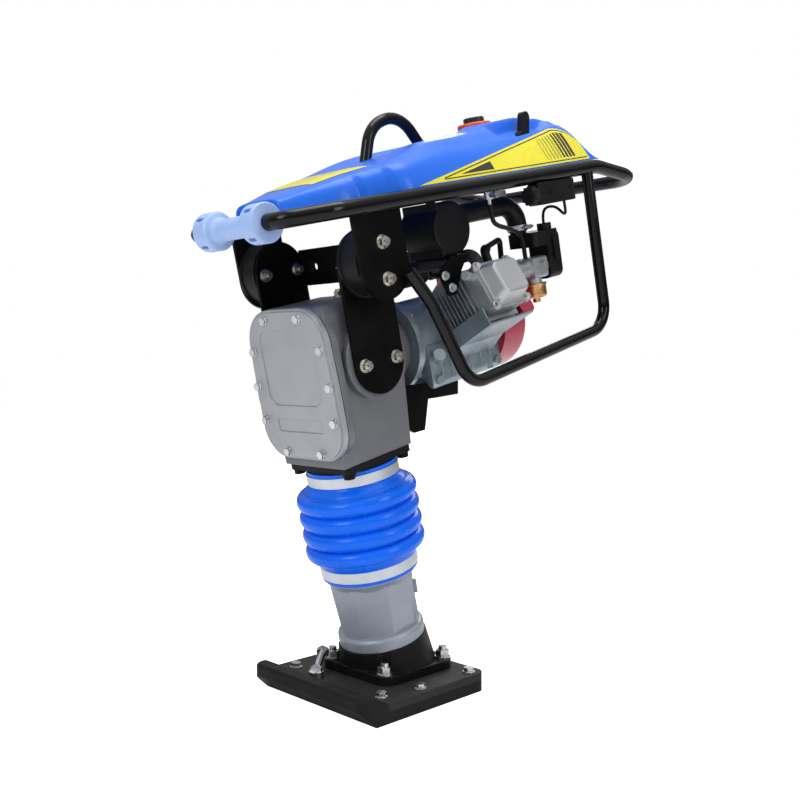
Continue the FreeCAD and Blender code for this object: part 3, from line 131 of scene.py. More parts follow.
def two_tone(nodes, links, factor, first, second):
    """Mix two colours, each a tuple or another node's output."""
    mix = nodes.new("ShaderNodeMix")
    mix.data_type = "RGBA"
    for socket, colour in (("A", first), ("B", second)):
        plug = next(s for s in mix.inputs if s.name == socket and s.type == "RGBA")
        if isinstance(colour, tuple):
            plug.default_value = (*colour, 1)
        else:
            links.new(colour, plug)
    links.new(factor, mix.inputs[0])
    return next(s for s in mix.outputs if s.type == "RGBA")


def worn_edges(nodes, links, coords, softened, colours, wear):
    """Let another colour show in patches along the edges, where the softened normal leaves the true one."""
    geometry = nodes.new("ShaderNodeNewGeometry")
    aligned = nodes.new("ShaderNodeVectorMath")
    aligned.operation = "DOT_PRODUCT"
    links.new(softened, aligned.inputs[0])
    links.new(geometry.outputs["Normal"], aligned.inputs[1])
    edge = spread(nodes, links, aligned.outputs["Value"], 1.0, 0.0, *EDGE_RANGE)
    rubbed = nodes.new("ShaderNodeMath")
    rubbed.operation = "MULTIPLY"
    links.new(edge, rubbed.inputs[0])
    patches = spread(nodes, links, noise(nodes, links, coords, WEAR_SCALE), 0.0, WEAR_MOST, *WEAR_PATCHES)
    links.new(patches, rubbed.inputs[1])
    return two_tone(nodes, links, rubbed.outputs[0], colours, wear)


def dusted(nodes, links, colours, dust):
    """Pale what faces up."""
    facing = nodes.new("ShaderNodeNewGeometry")
    parts = nodes.new("ShaderNodeSeparateXYZ")
    links.new(facing.outputs["Normal"], parts.inputs[0])
    upward = spread(nodes, links, parts.outputs["Z"], 0.0, dust, *DUST_RANGE)
    return two_tone(nodes, links, upward, colours, DUST_COLOUR)


def finish(name, colour, roughness, metallic=0.0, tone=0.12, mottle=9.0, grain=0.0, grain_scale=900.0,
           round_mm=0.8, coat=0.0, wear=None, stretch=None, patchy=0.08, dust=0.0, shine=0.5):
    """One painted, moulded, cast or plated finish.

    tone and mottle vary the colour, grain is the bump's depth in millimetres, round_mm softens edges,
    wear is the colour that shows through on edges, patchy varies the gloss, dust pales what faces up and
    shine is the strength of the highlights.
    """
    mat, nodes, links, shader = material(name)
    coords = nodes.new("ShaderNodeTexCoord")
    broad = noise(nodes, links, coords, mottle, 5.0)
    fine = noise(nodes, links, coords, grain_scale, 3.0, stretch)
    dark = tuple(c * (1 - tone) for c in colour)
    light = tuple(min(1.0, c * (1 + tone) + LEAST_LIGHT) for c in colour)
    colours = two_tone(nodes, links, spread(nodes, links, broad, 0, 1), dark, light)
    soft = nodes.new("ShaderNodeBevel")
    soft.samples = 6
    soft.inputs["Radius"].default_value = round_mm / 1000
    if wear:
        colours = worn_edges(nodes, links, coords, soft.outputs["Normal"], colours, wear)
    if dust:
        colours = dusted(nodes, links, colours, dust)
    links.new(colours, shader.inputs["Base Color"])
    shader.inputs["Metallic"].default_value = metallic
    cloud = noise(nodes, links, coords, GLOSS_SCALE)
    gloss = spread(nodes, links, cloud, roughness - patchy / 2, roughness + patchy)
    links.new(gloss, shader.inputs["Roughness"])
    shader.inputs["Specular IOR Level"].default_value = shine
    shader.inputs["Coat Weight"].default_value = coat
    shader.inputs["Coat Roughness"].default_value = COAT_ROUGHNESS
    bump = nodes.new("ShaderNodeBump")
    bump.inputs["Strength"].default_value = 1.0 if grain else 0.0
    bump.inputs["Distance"].default_value = grain / 1000
    links.new(fine, bump.inputs["Height"])
    links.new(soft.outputs["Normal"], bump.inputs["Normal"])
    links.new(bump.outputs["Normal"], shader.inputs["Normal"])
    return mat


gloss_black = finish("gloss_black_coat", (0.002, 0.002, 0.0025), 0.14, coat=0.25, grain=0.03, grain_scale=320,
                     round_mm=1.0, wear=(0.03, 0.03, 0.033), patchy=0.04, shine=0.14)
plate_black = finish("black_plate_paint", (0.002, 0.002, 0.0025), 0.30, coat=0.04, grain=0.04,
                     grain_scale=260, wear=(0.03, 0.03, 0.033), patchy=0.08, shine=0.06)
cast_black = finish("black_cast_paint", (0.003, 0.003, 0.004), 0.40, grain=0.2, grain_scale=420, round_mm=2.0,
                    wear=(0.05, 0.05, 0.05), dust=0.008, shine=0.14)
deck_black = finish("black_deck_paint", (0.020, 0.020, 0.018), 0.48, grain=0.2, grain_scale=420, round_mm=1.5,
                    wear=(0.05, 0.05, 0.05), dust=0.02, shine=0.15)
pad_black = finish("sole_polymer", (0.005, 0.005, 0.006), 0.55, grain=0.25, grain_scale=700, round_mm=4.0,
                   wear=(0.02, 0.02, 0.02), dust=0.012, shine=0.16)
plastic_black = finish("black_moulding", (0.005, 0.005, 0.006), 0.40, grain=0.08, grain_scale=1300,
                       round_mm=1.6, shine=0.2)
rubber_black = finish("black_rubber", (0.005, 0.005, 0.006), 0.42, grain=0.06, grain_scale=900, round_mm=1.5,
                      shine=0.2)
zinc = finish("bright_zinc", (0.66, 0.66, 0.68), 0.24, metallic=1.0, tone=0.15, mottle=60, grain=0.03,
              grain_scale=900, round_mm=0.5)
yellow_zinc = finish("yellow_zinc", (0.60, 0.58, 0.52), 0.28, metallic=1.0, tone=0.2, mottle=70, grain=0.03,
                     round_mm=0.5)
band_steel = finish("band_steel", (0.60, 0.63, 0.68), 0.32, metallic=0.8, tone=0.06, mottle=20, grain=0.03,
                    grain_scale=500, stretch=(0.08, 0.08, 1.0))
leg_paint = finish("leg_cast_paint", (0.33, 0.36, 0.425), 0.38, metallic=0.35, tone=0.07, grain=0.22,
                   grain_scale=430, round_mm=2.5, wear=(0.55, 0.56, 0.58))
case_paint = finish("case_cast_paint", (0.155, 0.160, 0.175), 0.40, metallic=0.35, tone=0.08, grain=0.25,
                    grain_scale=380, round_mm=2.5, wear=(0.40, 0.41, 0.43))
cover_paint = finish("cover_paint", (0.38, 0.39, 0.425), 0.36, metallic=0.45, tone=0.06, grain=0.18,
                     grain_scale=420, round_mm=2.0, wear=(0.55, 0.56, 0.58))
engine_cast = finish("engine_casting", (0.27, 0.33, 0.37), 0.32, metallic=0.65, tone=0.16, mottle=24,
                     grain=0.35, grain_scale=520, round_mm=2.0, wear=(0.6, 0.62, 0.63))
raw_cast = finish("raw_casting", (0.45, 0.48, 0.50), 0.40, metallic=0.8, tone=0.14, mottle=22, grain=0.25,
                  grain_scale=650, round_mm=0.8)
rocker_silver = finish("rocker_silver", (0.50, 0.51, 0.52), 0.34, metallic=0.7, tone=0.05, grain=0.10,
                       grain_scale=700, round_mm=1.6, coat=0.2)
crimson = finish("crimson_paint", (0.42, 0.008, 0.045), 0.28, tone=0.08, coat=0.4, grain=0.04, round_mm=1.5)
copper_zinc = finish("bowl_zinc", (0.70, 0.40, 0.17), 0.30, metallic=1.0, tone=0.22, mottle=55, grain=0.04,
                     round_mm=1.0)
machined = finish("machined_steel", (0.50, 0.50, 0.52), 0.26, metallic=1.0, tone=0.08, grain=0.03,
                  grain_scale=600, stretch=(1.0, 1.0, 0.06), round_mm=0.4)
hot_black = finish("exhaust_black", (0.02, 0.019, 0.018), 0.60, tone=0.3, mottle=30, grain=0.12, round_mm=2.0)
bellows_blue = finish("bellows_rubber", (0.0, 0.140, 0.90), 0.24, tone=0.04, mottle=14, coat=0.12, grain=0.02,
                      grain_scale=500, round_mm=0.5, patchy=0.05, shine=0.2)
tank_blue = finish("tank_moulding", (0.012, 0.150, 0.80), 0.32, tone=0.04, mottle=8, coat=0.1, grain=0.05,
                   grain_scale=620, round_mm=2.0, patchy=0.08, shine=0.3)
roller_blue = finish("roller_polymer", (0.35, 0.50, 0.85), 0.38, tone=0.04, grain=0.06, grain_scale=800,
                     round_mm=1.2)
cap_orange = finish("cap_orange", (0.82, 0.075, 0.008), 0.32, tone=0.06, grain=0.04, round_mm=1.2)
decal_yellow = finish("decal_yellow", (0.83, 0.74, 0.020), 0.30, tone=0.03, grain=0.0, round_mm=0.3, coat=0.3)
decal_black = finish("decal_black", (0.012, 0.012, 0.012), 0.30, tone=0.05, grain=0.0, round_mm=0.3, coat=0.3)
decal_olive = finish("decal_olive", (0.36, 0.34, 0.05), 0.30, tone=0.05, grain=0.0, round_mm=0.3, coat=0.3)
rope_grey = finish("rope_braid", (0.22, 0.22, 0.21), 0.75, tone=0.3, mottle=500, grain=0.4, grain_scale=900,
                   round_mm=0.3)

FINISHES = {
    pad_black: ["sole_pad"],
    cast_black: ["foot_casting", "guide_cylinder"],
    deck_black: ["sole_plate"],
    zinc: ["sole_bolts", "foot_studs", "cover_bolts", "engine_bolts", "fuel_cock", "fuel_lever"],
    leg_paint: ["leg_cylinder"],
    machined: ["spring_cylinder", "ram_springs", "ram_rod", "connecting_rod", "crank_gear", "clutch_drum",
               "engine_shaft", "roller_axle"],
    band_steel: ["lower_clamp", "hose_clamps"],
    bellows_blue: ["bellows"],
    gloss_black: ["handle_tube", "side_guards", "lifting_hook"],
    plate_black: ["handle_bracket", "handle_plates", "engine_brackets", "base_bolts"],
    case_paint: ["gear_case"],
    rubber_black: ["cover_gasket", "rubber_mounts", "intake_hose", "plug_lead", "throttle_cable",
                   "fuel_hose"],
    cover_paint: ["case_cover"],
    yellow_zinc: ["breather_plug", "bracket_bolts", "handle_bolts"],
    engine_cast: ["crankcase", "cylinder_cowl"],
    raw_cast: ["finned_cylinder", "carburettor"],
    rocker_silver: ["rocker_cover"],
    crimson: ["fan_shroud", "recoil_housing"],
    copper_zinc: ["float_bowl"],
    plastic_black: ["intake_housing", "air_cleaner", "recoil_pulley", "starter_grip", "choke_lever",
                    "switch_box", "throttle_lever", "stop_knob"],
    hot_black: ["muffler"],
    tank_blue: ["fuel_tank"],
    roller_blue: ["roller"],
    cap_orange: ["fuel_cap"],
}


def split_by_height(mat, place, colour):
    """Paint a finish another colour above a point of the leaning column."""
    nodes, links = mat.node_tree.nodes, mat.node_tree.links
    shader = nodes["Principled BSDF"]
    coords = nodes.new("ShaderNodeTexCoord")
    along = nodes.new("ShaderNodeVectorMath")
    along.operation = "DOT_PRODUCT"
    along.inputs[1].default_value = UP
    links.new(coords.outputs["Object"], along.inputs[0])
    level = place.dot(UP)
    blur = 0.0002
    above = spread(nodes, links, along.outputs["Value"], 0.0, 1.0, level - blur, level + blur)
    below = shader.inputs["Base Color"].links[0].from_socket
    links.new(two_tone(nodes, links, above, below, colour), shader.inputs["Base Color"])


def paint_nodes():
    """Give every CAD piece its finish."""
    for mat, names in FINISHES.items():
        for name in names:
            mesh = NODES[name].data
            mesh.materials.clear()
            mesh.materials.append(mat)


CAP_TOP = extent("fuel_cap")[2][1]
CAP_KNOB = 9.5             # height of the cap's dark top
split_by_height(cap_orange, at(0, 0, CAP_TOP - CAP_KNOB), (0.015, 0.015, 0.016))
paint_nodes()


# ---------------------------------------------------------------- mesh helpers
MERGE = 1e-6               # metres within which two vertices are one


def new_piece(name, vertices, faces, mat, body=None, smooth=True):
    """A mesh piece with merged vertices and outward faces, riding on a body if one is given."""
    mesh = bpy.data.meshes.new(name)
    mesh.from_pydata([tuple(v) for v in vertices], [], faces)
    mesh.materials.append(mat)
    for polygon in mesh.polygons:
        polygon.use_smooth = smooth
    tidy = bmesh.new()
    tidy.from_mesh(mesh)
    bmesh.ops.remove_doubles(tidy, verts=tidy.verts, dist=MERGE)
    bmesh.ops.recalc_face_normals(tidy, faces=tidy.faces)
    tidy.to_mesh(mesh)
    tidy.free()
    piece = bpy.data.objects.new(name, mesh)
    bpy.context.scene.collection.objects.link(piece)
    if body:
        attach(piece, body)
    return piece


def grid_faces(rows, columns, closed=False):
    """Four-sided faces of a grid of vertices, whose rows may close on themselves."""
    faces = []
    for start in range(0, (rows - 1) * columns, columns):
        for c in range(columns if closed else columns - 1):
            after = (c + 1) % columns
            faces.append((start + c, start + after, start + columns + after, start + columns + c))
    return faces


def ease(value, start, end):
    """0 before start, 1 after end, and smooth between them."""
    t = min(1.0, max(0.0, (value - start) / (end - start)))
    return t * t * (3 - 2 * t)


# ---------------------------------------------------------------- bellows
BOOT_LOW, BOOT_HIGH = extent("bellows")[2]
NECK_LOW_R, NECK_HIGH_R = 83.0, 77.0
NECK_LOW_RUN, NECK_HIGH_RUN = 16.0, 15.0          # heights over which the necks widen to the folds
CREST_R, ROOT_R, RUBBER = 103.0, 88.5, 3.0        # radii of the folds outside, and the rubber's thickness
FOLDS, FIRST_FOLD, PITCH = 4, 266.0, 29.3
FULLNESS = 0.9             # below 1, a fold is fatter than half an ellipse


def boot_radius(z):
    """Radius of the boot's outside at a height along the column."""
    first, last = FIRST_FOLD - PITCH / 2, FIRST_FOLD + (FOLDS - 0.5) * PITCH
    if z < first:
        return NECK_LOW_R + (ROOT_R - NECK_LOW_R) * ease(z, first - NECK_LOW_RUN, first)
    if z > last:
        return ROOT_R + (NECK_HIGH_R - ROOT_R) * ease(z, last, last + NECK_HIGH_RUN)
    turn = (z - first) / PITCH % 1.0
    return ROOT_R + (CREST_R - ROOT_R) * math.sqrt(max(0.0, 1 - (2 * turn - 1) ** 2)) ** FULLNESS


def make_bellows():
    """The boot's outside and inside as one closed skin, turned about the column."""
    steps, around = 210, 112
    heights = [BOOT_LOW + (BOOT_HIGH - BOOT_LOW) * k / steps for k in range(steps + 1)]
    outside = [(boot_radius(z), z) for z in heights]
    inside = [(r - RUBBER, z) for r, z in reversed(outside)]
    loop = outside + inside + outside[:1]
    vertices = []
    for r, z in loop:
        for k in range(around):
            a = 2 * math.pi * k / around
            vertices.append(at(r * math.cos(a), r * math.sin(a), z))
    piece = new_piece("boot", vertices, grid_faces(len(loop), around, closed=True), bellows_blue)
    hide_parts("bellows")
    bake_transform(piece)


make_bellows()

# ---------------------------------------------------------------- tank and hood
TANK_SPAN, TANK_RISE = extent("fuel_tank")[1:]
NOSE, TAIL = TANK_SPAN[0], 546.0
RIM_Z = TANK_RISE[0] + 9.0             # the hood's lower edge rests on the rails, above the tank's underside
RIM_CLIMB, RIM_LEVEL_Y = 0.01, -139.0  # the rim climbs 1 in 100, as if from the handle's front
SKIRT = 7.0                            # how far the hood turns down below its rim
MIDDLE_Y = 220.0                       # where the underside's faces meet

RAIL_FRONT_X, RAIL_FRONT_Y = 148.0, -73.0
RAIL_REAR_X, RAIL_REAR_Y = 200.0, 534.0
RAIL_INSET = 1.0                       # the hood stays this far inside the rails' axes

NOSE_HALF, NECK_HALF = 50.0, 110.0     # half widths at the nose, and where the hood starts to widen
NOSE_SWELL = (NOSE - 30, 10.0)         # where the nose grows to the neck
SWEEP = (10.0, 92.0)                   # where the neck widens to the rails
STEP_STARTS, STEP_RUN = (22.0, 62.0), 5.0
STEP_SHARE = 0.28                      # of the widening that is in the two crisp steps

CROWN_START = 16.0
CROWN_RISES = (                        # each a height gained, and from where to where
    (32.0, NOSE - 60, 60.0),
    (20.0, 20.0, 210.0),
    (21.0, 120.0, 540.0),
)
TAIL_TURN, TAIL_FULLNESS = 486.0, 3.2  # where the top starts to turn down to the tail, and how late it falls

BOXY_FRONT, BOXY_REAR, BOXY_RUN = 4.6, 5.8, 160.0
LEAN_FRONT, LEAN_REAR = 0.10, 0.24     # how far the sides lean in, as shares of the width
LEAN_RUN = (60.0, 330.0)
TOP_RANGE = (0.55, 0.95)               # shares of the height over which the top's plateaus come in

LEVER_X, LEVER_Y, _ = joint_place("throttle_turn")
PLATEAU_EDGE = (0.72, 1.12)            # where a plateau starts and stops falling, as shares of its half size
PLATEAUS = (                           # centre across and behind, half sizes, and height
    (0.0, 262.0, 40.0, 92.0, -10.0),            # hollow between the hook's feet and behind them
    (30.0, 400.0, 84.0, 86.0, 8.0),             # raised saddle around the cap
    (LEVER_X, LEVER_Y, 24.0, 84.0, -22.0),      # scoop along the throttle lever
    (-LEVER_X, LEVER_Y, 24.0, 84.0, -10.0),     # its shallower twin
)
SHOULDER = 7.0                         # height of the two long shoulders
SHOULDER_START = (70.0, 210.0)         # where they rise, going back
SHOULDER_IN, SHOULDER_OUT = (48.0, 70.0), (112.0, 140.0)      # their inner and outer slopes


def rail_x(y):
    """How far a rail's axis is from the middle."""
    share = (y - RAIL_FRONT_Y) / (RAIL_REAR_Y - RAIL_FRONT_Y)
    return RAIL_FRONT_X + (RAIL_REAR_X - RAIL_FRONT_X) * share


def hood_half_width(y):
    """Half the hood's width at its rim: a tapered nose, two crisp steps in a wider sweep, then the rails."""
    nose = NOSE_HALF + (NECK_HALF - NOSE_HALF) * ease(y, *NOSE_SWELL)
    wide = rail_x(y) - RAIL_INSET
    steps = sum(ease(y, start, start + STEP_RUN) for start in STEP_STARTS) / len(STEP_STARTS)
    return nose + (wide - nose) * ((1 - STEP_SHARE) * ease(y, *SWEEP) + STEP_SHARE * steps)


def hood_height(y):
    """Height of the hood above its rim, along its middle."""
    crown = CROWN_START + sum(rise * ease(y, start, end) for rise, start, end in CROWN_RISES)
    fall = max(0.0, (y - TAIL_TURN) / (TAIL - TAIL_TURN))
    return crown * math.sqrt(max(0.0, 1 - fall ** TAIL_FULLNESS))


def plateau(x, y, centre_x, centre_y, half_x, half_y, height):
    """A round-cornered plateau or hollow of the hood's top: its height in the middle, and 0 outside."""
    reach = ((abs(x - centre_x) / half_x) ** 4 + (abs(y - centre_y) / half_y) ** 4) ** 0.25
    return height * (1 - ease(reach, *PLATEAU_EDGE))


def shoulder(x, y):
    """A long raised band on each side of the hood's top."""
    across = ease(abs(x), *SHOULDER_IN) * (1 - ease(abs(x), *SHOULDER_OUT))
    return SHOULDER * ease(y, *SHOULDER_START) * across


def hood_power(y):
    """How boxy the hood's section is: smaller is squarer."""
    return 2 / (BOXY_FRONT + (BOXY_REAR - BOXY_FRONT) * ease(y, 0, BOXY_RUN))


def hood_point(y, turn):
    """A point of the hood's skin; turn goes from -1 at the -X rim over the middle to 1 at the +X rim."""
    angle = abs(turn) * math.pi / 2
    power = hood_power(y)
    half, height = hood_half_width(y), hood_height(y)
    lean_in = LEAN_FRONT + (LEAN_REAR - LEAN_FRONT) * ease(y, *LEAN_RUN)
    rise_share = max(0.0, math.cos(angle)) ** power
    across = half * math.sin(angle) ** power * (1 - lean_in * rise_share)
    x = math.copysign(across, turn)
    detail = shoulder(x, y) + sum(plateau(x, y, *shape) for shape in PLATEAUS)
    rim = RIM_Z + RIM_CLIMB * (y - RIM_LEVEL_Y)
    return at(x, y, rim + height * rise_share + ease(rise_share, *TOP_RANGE) * detail)


NEAR_Y, NEAR_TURN = 1.0, 0.004         # steps to the points that give the skin's direction


def skin_grid(y0, y1, rows, turn0, turn1, columns, lift):
    """Points of the hood's skin between two stations and two turns, raised by lift millimetres."""
    points = []
    for r in range(rows):
        y = y0 + (y1 - y0) * r / (rows - 1)
        a, b = (turn(y) if callable(turn) else turn for turn in (turn0, turn1))
        for c in range(columns):
            turn = a + (b - a) * c / (columns - 1)
            point = hood_point(y, turn)
            along_y = hood_point(y + NEAR_Y, turn) - hood_point(y - NEAR_Y, turn)
            along_turn = hood_point(y, turn + NEAR_TURN) - hood_point(y, turn - NEAR_TURN)
            points.append(point + along_y.cross(along_turn).normalized() * (-lift / 1000))
    return points


def grid_border(rows, columns):
    """The vertices around a grid, in order."""
    last = (rows - 1) * columns
    start_side = list(range(0, last, columns))
    far_row = list(range(last, last + columns - 1))
    end_side = list(range(last + columns - 1, columns - 1, -columns))
    near_row = list(range(columns - 1, 0, -1))
    return start_side + far_row + end_side + near_row


def make_hood():
    """The hood's skin, a skirt below its rim, and an underside that meets in the middle."""
    rows, columns = 200, 161
    crowding = 1.35        # above 1, the rows lie closer together towards the tail
    vertices = []
    for r in range(rows):
        y = NOSE + (TAIL - NOSE) * (1 - (1 - r / (rows - 1)) ** crowding)
        vertices += [hood_point(y, 2 * c / (columns - 1) - 1) for c in range(columns)]
    faces = grid_faces(rows, columns)
    rim = grid_border(rows, columns)
    count, start = len(rim), len(vertices)
    vertices += [vertices[k] - UP * (SKIRT / 1000) for k in rim]
    middle = len(vertices)
    vertices.append(at(0, MIDDLE_Y, RIM_Z - SKIRT))
    pairs = [(k, (k + 1) % count) for k in range(count)]
    faces += [(rim[k], rim[after], start + after, start + k) for k, after in pairs]
    faces += [(start + k, start + after, middle) for k, after in pairs]
    piece = new_piece("hood", vertices, faces, tank_blue, "handle")
    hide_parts("fuel_tank")


make_hood()


# ---------------------------------------------------------------- decals
FIELD_LIFT, NOSE_LIFT, INK_LIFT = 0.5, 0.6, 0.9     # the yellow fields and the ink stand proud of the skin
DECAL_FRONT, DECAL_REAR = 100.0, 522.0
DECAL_HIGH, DECAL_LOW = 68.0, 3.0      # heights above the hood's rim
DECAL_PEAK, DECAL_TURN = 470.0, 462.0  # where the climb ends and where the fall starts
DECAL_OVERRUN, DECAL_FULLNESS = 8.0, 2.6          # the fall would end past the decal, and falls late

LINE_FRONT, LINE_REAR = DECAL_FRONT + 58, DECAL_REAR - 5
LINE_NEAR, LINE_FAR = 3.4, 5.0         # a border line's two edges, in from the field's edge
INK_MARGIN = 9.0
WEDGE = (DECAL_FRONT + 96, DECAL_FRONT + 176)
BARS, BAR_FRONT, BAR_PITCH = 9, DECAL_REAR - 108, 8.5
OLIVE_BARS = 5
BAR_WIDTH, BAR_GROWTH = 1.6, 0.62

NOSE_DECAL = (-34, 58)
NOSE_DECAL_TURN = 0.36                 # how far it reaches to each side, as a share of the way to the rim


def patch(name, mat, y0, y1, turn0, turn1, lift, rows=140, columns=24):
    """A thin sheet that follows the hood's skin."""
    points = skin_grid(y0, y1, rows, turn0, turn1, columns, lift)
    piece = new_piece(name, points, grid_faces(rows, columns), mat, "handle")


def decal_top(y):
    """Upper edge of the side decal above the rim: a straight climb, then a quick round fall."""
    share = min(1.0, (y - DECAL_FRONT) / (DECAL_PEAK - DECAL_FRONT))
    climb = DECAL_LOW + (DECAL_HIGH - DECAL_LOW) * share
    fall = max(0.0, (y - DECAL_TURN) / (DECAL_REAR + DECAL_OVERRUN - DECAL_TURN))
    return climb * math.sqrt(max(0.0, 1 - fall ** DECAL_FULLNESS))


def turn_above_rim(y, rise):
    """The turn at which the hood's skin stands this many millimetres above its rim."""
    lowest, highest = 0.0005, 0.93     # shares of the height, short of the rim and of the flat top
    share = min(highest, max(lowest, rise / hood_height(y)))
    return math.acos(share ** (1 / hood_power(y))) / (math.pi / 2)


def below_top(inset):
    """An edge this far below the side decal's upper edge."""
    return lambda y: decal_top(y) - inset


def above_foot(inset):
    """An edge this far above the side decal's lower edge."""
    return lambda y: DECAL_LOW + inset


def band(sign, upper, lower):
    """Turns of a decal's two edges, each a height above the rim at a station."""
    return [lambda y, edge=edge: sign * turn_above_rim(y, edge(y)) for edge in (upper, lower)]


def make_side_decal(side, sign):
    """A yellow field with two border lines, a wedge and a row of widening bars."""
    patch("decal_base_" + side, decal_yellow, DECAL_FRONT, DECAL_REAR,
          *band(sign, below_top(0), above_foot(0)), FIELD_LIFT)
    patch("decal_line_" + side, decal_black, LINE_FRONT, LINE_REAR,
          *band(sign, below_top(LINE_NEAR), below_top(LINE_FAR)), INK_LIFT, columns=4)
    patch("decal_foot_" + side, decal_black, LINE_FRONT, LINE_REAR,
          *band(sign, above_foot(LINE_FAR), above_foot(LINE_NEAR)), INK_LIFT, columns=4)
    patch("decal_wedge_" + side, decal_black, *WEDGE,
          *band(sign, below_top(INK_MARGIN), above_foot(INK_MARGIN - 1)), INK_LIFT, columns=8)
    for k in range(BARS):
        y = BAR_FRONT + BAR_PITCH * k
        patch("decal_bar_%s_%d" % (side, k), decal_olive if k < OLIVE_BARS else decal_black,
              y, y + BAR_WIDTH + BAR_GROWTH * k,
              *band(sign, below_top(INK_MARGIN), above_foot(INK_MARGIN)), INK_LIFT, rows=5, columns=10)


make_side_decal("right", 1)
make_side_decal("left", -1)
patch("nose_decal", decal_yellow, *NOSE_DECAL, -NOSE_DECAL_TURN, NOSE_DECAL_TURN, NOSE_LIFT,
      rows=40, columns=40)


# ---------------------------------------------------------------- cables, hoses and rope
def tube(name, points, radius_mm, mat):
    """A smooth round line with these points as its control points, in metres."""
    curve = bpy.data.curves.new(name, "CURVE")
    curve.dimensions = "3D"
    spline = curve.splines.new("NURBS")
    spline.points.add(len(points) - 1)
    for point, place in zip(spline.points, points):
        point.co = (*place, 1)
    spline.order_u = 3
    spline.use_endpoint_u = True
    curve.resolution_u = 12
    curve.bevel_depth = radius_mm / 1000
    curve.bevel_resolution = 5
    curve.use_fill_caps = True
    shaped = bpy.data.objects.new(name + "_line", curve)
    bpy.context.scene.collection.objects.link(shaped)
    bpy.context.view_layer.update()
    mesh = bpy.data.meshes.new_from_object(shaped)
    bpy.data.objects.remove(shaped)
    mesh.materials.clear()
    mesh.materials.append(mat)
    for polygon in mesh.polygons:
        polygon.use_smooth = True
    piece = bpy.data.objects.new(name, mesh)
    bpy.context.scene.collection.objects.link(piece)
    return piece


SWITCH_Y = sum(extent("switch_box")[1]) / 2
SWITCH_X = rail_x(SWITCH_Y) - 2
INLET_X = 135.0            # axis of the throttle body
_, PULLEY_Y, PULLEY_Z = joint_place("pulley_turn")
DRUM_OUT, GRIP_OUT = 56.0, 86.0        # the rope's two ends, out from the pulley's axis and up from it
CABLE_R, HOSE_R, ROPE_R = 2.6, 4.0, 2.4


def make_lines():
    """The cable and the hose cross from the rocking handle to the engine, and the rope follows its grip."""
    route = [at(SWITCH_X, 438, 775), at(SWITCH_X, 440, 757), at(SWITCH_X - 12, 452, 748),
             at(INLET_X + 16, 462, 766), at(INLET_X + 5, 446, 768), at(INLET_X + 4, 434, 756),
             at(INLET_X + 4, 434, 739)]
    cable = tube("throttle_line", route, CABLE_R, rubber_black)
    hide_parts("throttle_cable")
    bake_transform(cable)
    route = [at(148, 279, 791), at(148, 279, 772), at(148, 284, 754), at(145, 330, 742), at(137, 366, 728),
             at(INLET_X, 372, 708), at(INLET_X, 372, 683)]
    hose = tube("fuel_line", route, HOSE_R, rubber_black)
    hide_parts("fuel_hose")
    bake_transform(hose)
    drum = at(-DRUM_OUT, PULLEY_Y, PULLEY_Z + DRUM_OUT)
    grip = at(-GRIP_OUT, PULLEY_Y, PULLEY_Z + GRIP_OUT)
    rope = tube("starter_rope", [drum, (drum + grip) / 2, grip], ROPE_R, rope_grey)
    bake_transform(rope)


make_lines()


# ---------------------------------------------------------------- floor, light and camera
def make_floor():
    """A pale floor just under the sole, which shines only to the camera so that it has no horizon."""
    half, drop = 12.0, 0.0005
    corners = [Vector((sx * half, sy * half, -drop)) for sx, sy in ((-1, -1), (1, -1), (1, 1), (-1, 1))]
    mat, nodes, links, shader = material("studio_floor")
    coords = nodes.new("ShaderNodeTexCoord")
    cloud = spread(nodes, links, noise(nodes, links, coords, 0.8), 0.0, 1.0)
    greys = two_tone(nodes, links, cloud, (0.90, 0.90, 0.90), (0.93, 0.93, 0.93))
    links.new(greys, shader.inputs["Base Color"])
    shader.inputs["Roughness"].default_value = 0.7
    shader.inputs["Emission Color"].default_value = (1, 1, 1, 1)
    rays = nodes.new("ShaderNodeLightPath")
    links.new(rays.outputs["Is Camera Ray"], shader.inputs["Emission Strength"])
    floor = new_piece("studio_floor", corners, [(0, 1, 2, 3)], mat, smooth=False)


def area_light(name, place, aim, size, power):
    """A rectangular lamp at a place, facing another, in metres and watts."""
    lamp = bpy.data.lights.new(name, "AREA")
    lamp.shape = "RECTANGLE"
    lamp.size, lamp.size_y = size
    lamp.energy = power
    holder = bpy.data.objects.new(name, lamp)
    holder.location = place
    holder.rotation_euler = (Vector(aim) - Vector(place)).to_track_quat("-Z", "Y").to_euler()
    bpy.context.scene.collection.objects.link(holder)


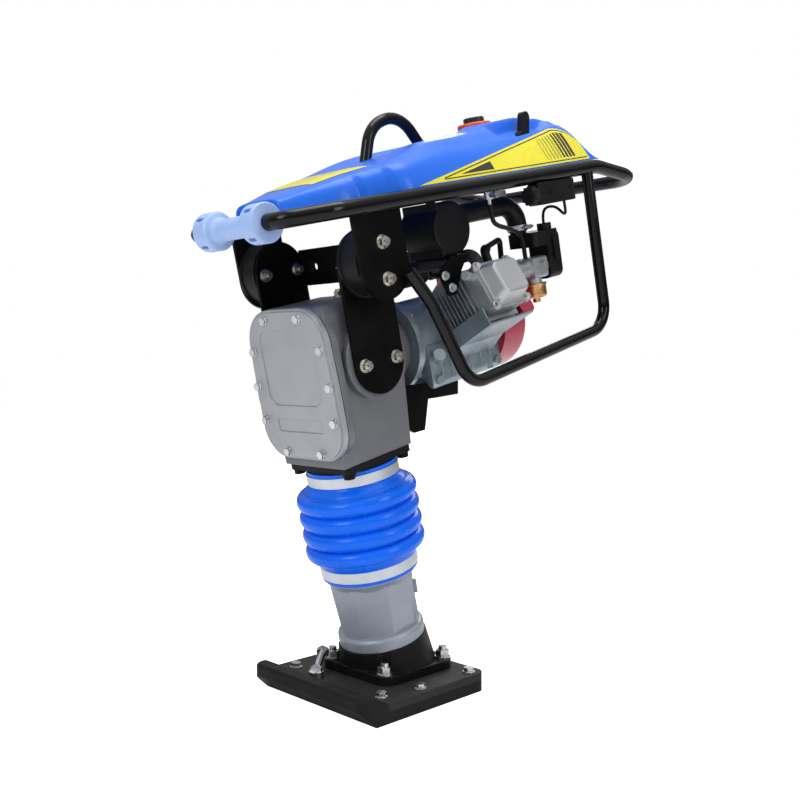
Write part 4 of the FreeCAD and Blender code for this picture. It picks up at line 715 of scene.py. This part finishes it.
make_floor()
area_light("key", (0.4, -2.9, 1.9), (0, 0, 0.55), (1.3, 1.6), 29)
area_light("side", (3.0, 0.3, 1.7), (0, 0, 0.6), (0.9, 1.8), 20)
area_light("rim", (-1.2, 2.6, 2.2), (0, 0.1, 0.6), (2.0, 1.0), 24)
area_light("top", (0.2, 0.0, 3.2), (0, 0, 0.5), (1.6, 1.6), 34)

SKY_LOW, SKY_HIGH = 0.06, 0.95         # strength at the horizon and overhead


def make_sky():
    """A white sky that grows brighter upwards, and is plain white to the camera."""
    world = bpy.data.worlds.new("studio")
    bpy.context.scene.world = world
    world.use_nodes = True
    nodes, links = world.node_tree.nodes, world.node_tree.links
    sky = nodes["Background"]
    sky.inputs["Color"].default_value = (1, 1, 1, 1)
    rays = nodes.new("ShaderNodeLightPath")
    aim = nodes.new("ShaderNodeTexCoord")
    height = nodes.new("ShaderNodeSeparateXYZ")
    glow = nodes.new("ShaderNodeMapRange")
    glow.inputs["To Min"].default_value = SKY_LOW
    glow.inputs["To Max"].default_value = SKY_HIGH
    brighter = nodes.new("ShaderNodeMath")
    brighter.operation = "MAXIMUM"
    links.new(aim.outputs["Generated"], height.inputs[0])
    links.new(height.outputs["Z"], glow.inputs["Value"])
    links.new(glow.outputs["Result"], brighter.inputs[0])
    links.new(rays.outputs["Is Camera Ray"], brighter.inputs[1])
    links.new(brighter.outputs[0], sky.inputs["Strength"])
    bpy.context.scene.view_settings.view_transform = "Standard"


CAMERA_PLACE = (1.2103, -1.1309, 0.5519)
CAMERA_YAW, CAMERA_PITCH = math.radians(45.5), math.radians(1.04)
CAMERA_LENS, CAMERA_SHIFT = 43.2, -0.0165


def make_camera():
    """Look at the rammer from its front right, from just above half its height."""
    camera_data = bpy.data.cameras.new("camera")
    camera_data.lens = CAMERA_LENS
    camera_data.shift_y = CAMERA_SHIFT
    camera = bpy.data.objects.new("camera", camera_data)
    camera.location = CAMERA_PLACE
    camera.rotation_euler = (math.pi / 2 - CAMERA_PITCH, 0, CAMERA_YAW)
    bpy.context.scene.collection.objects.link(camera)
    bpy.context.scene.camera = camera


make_sky()
make_camera()
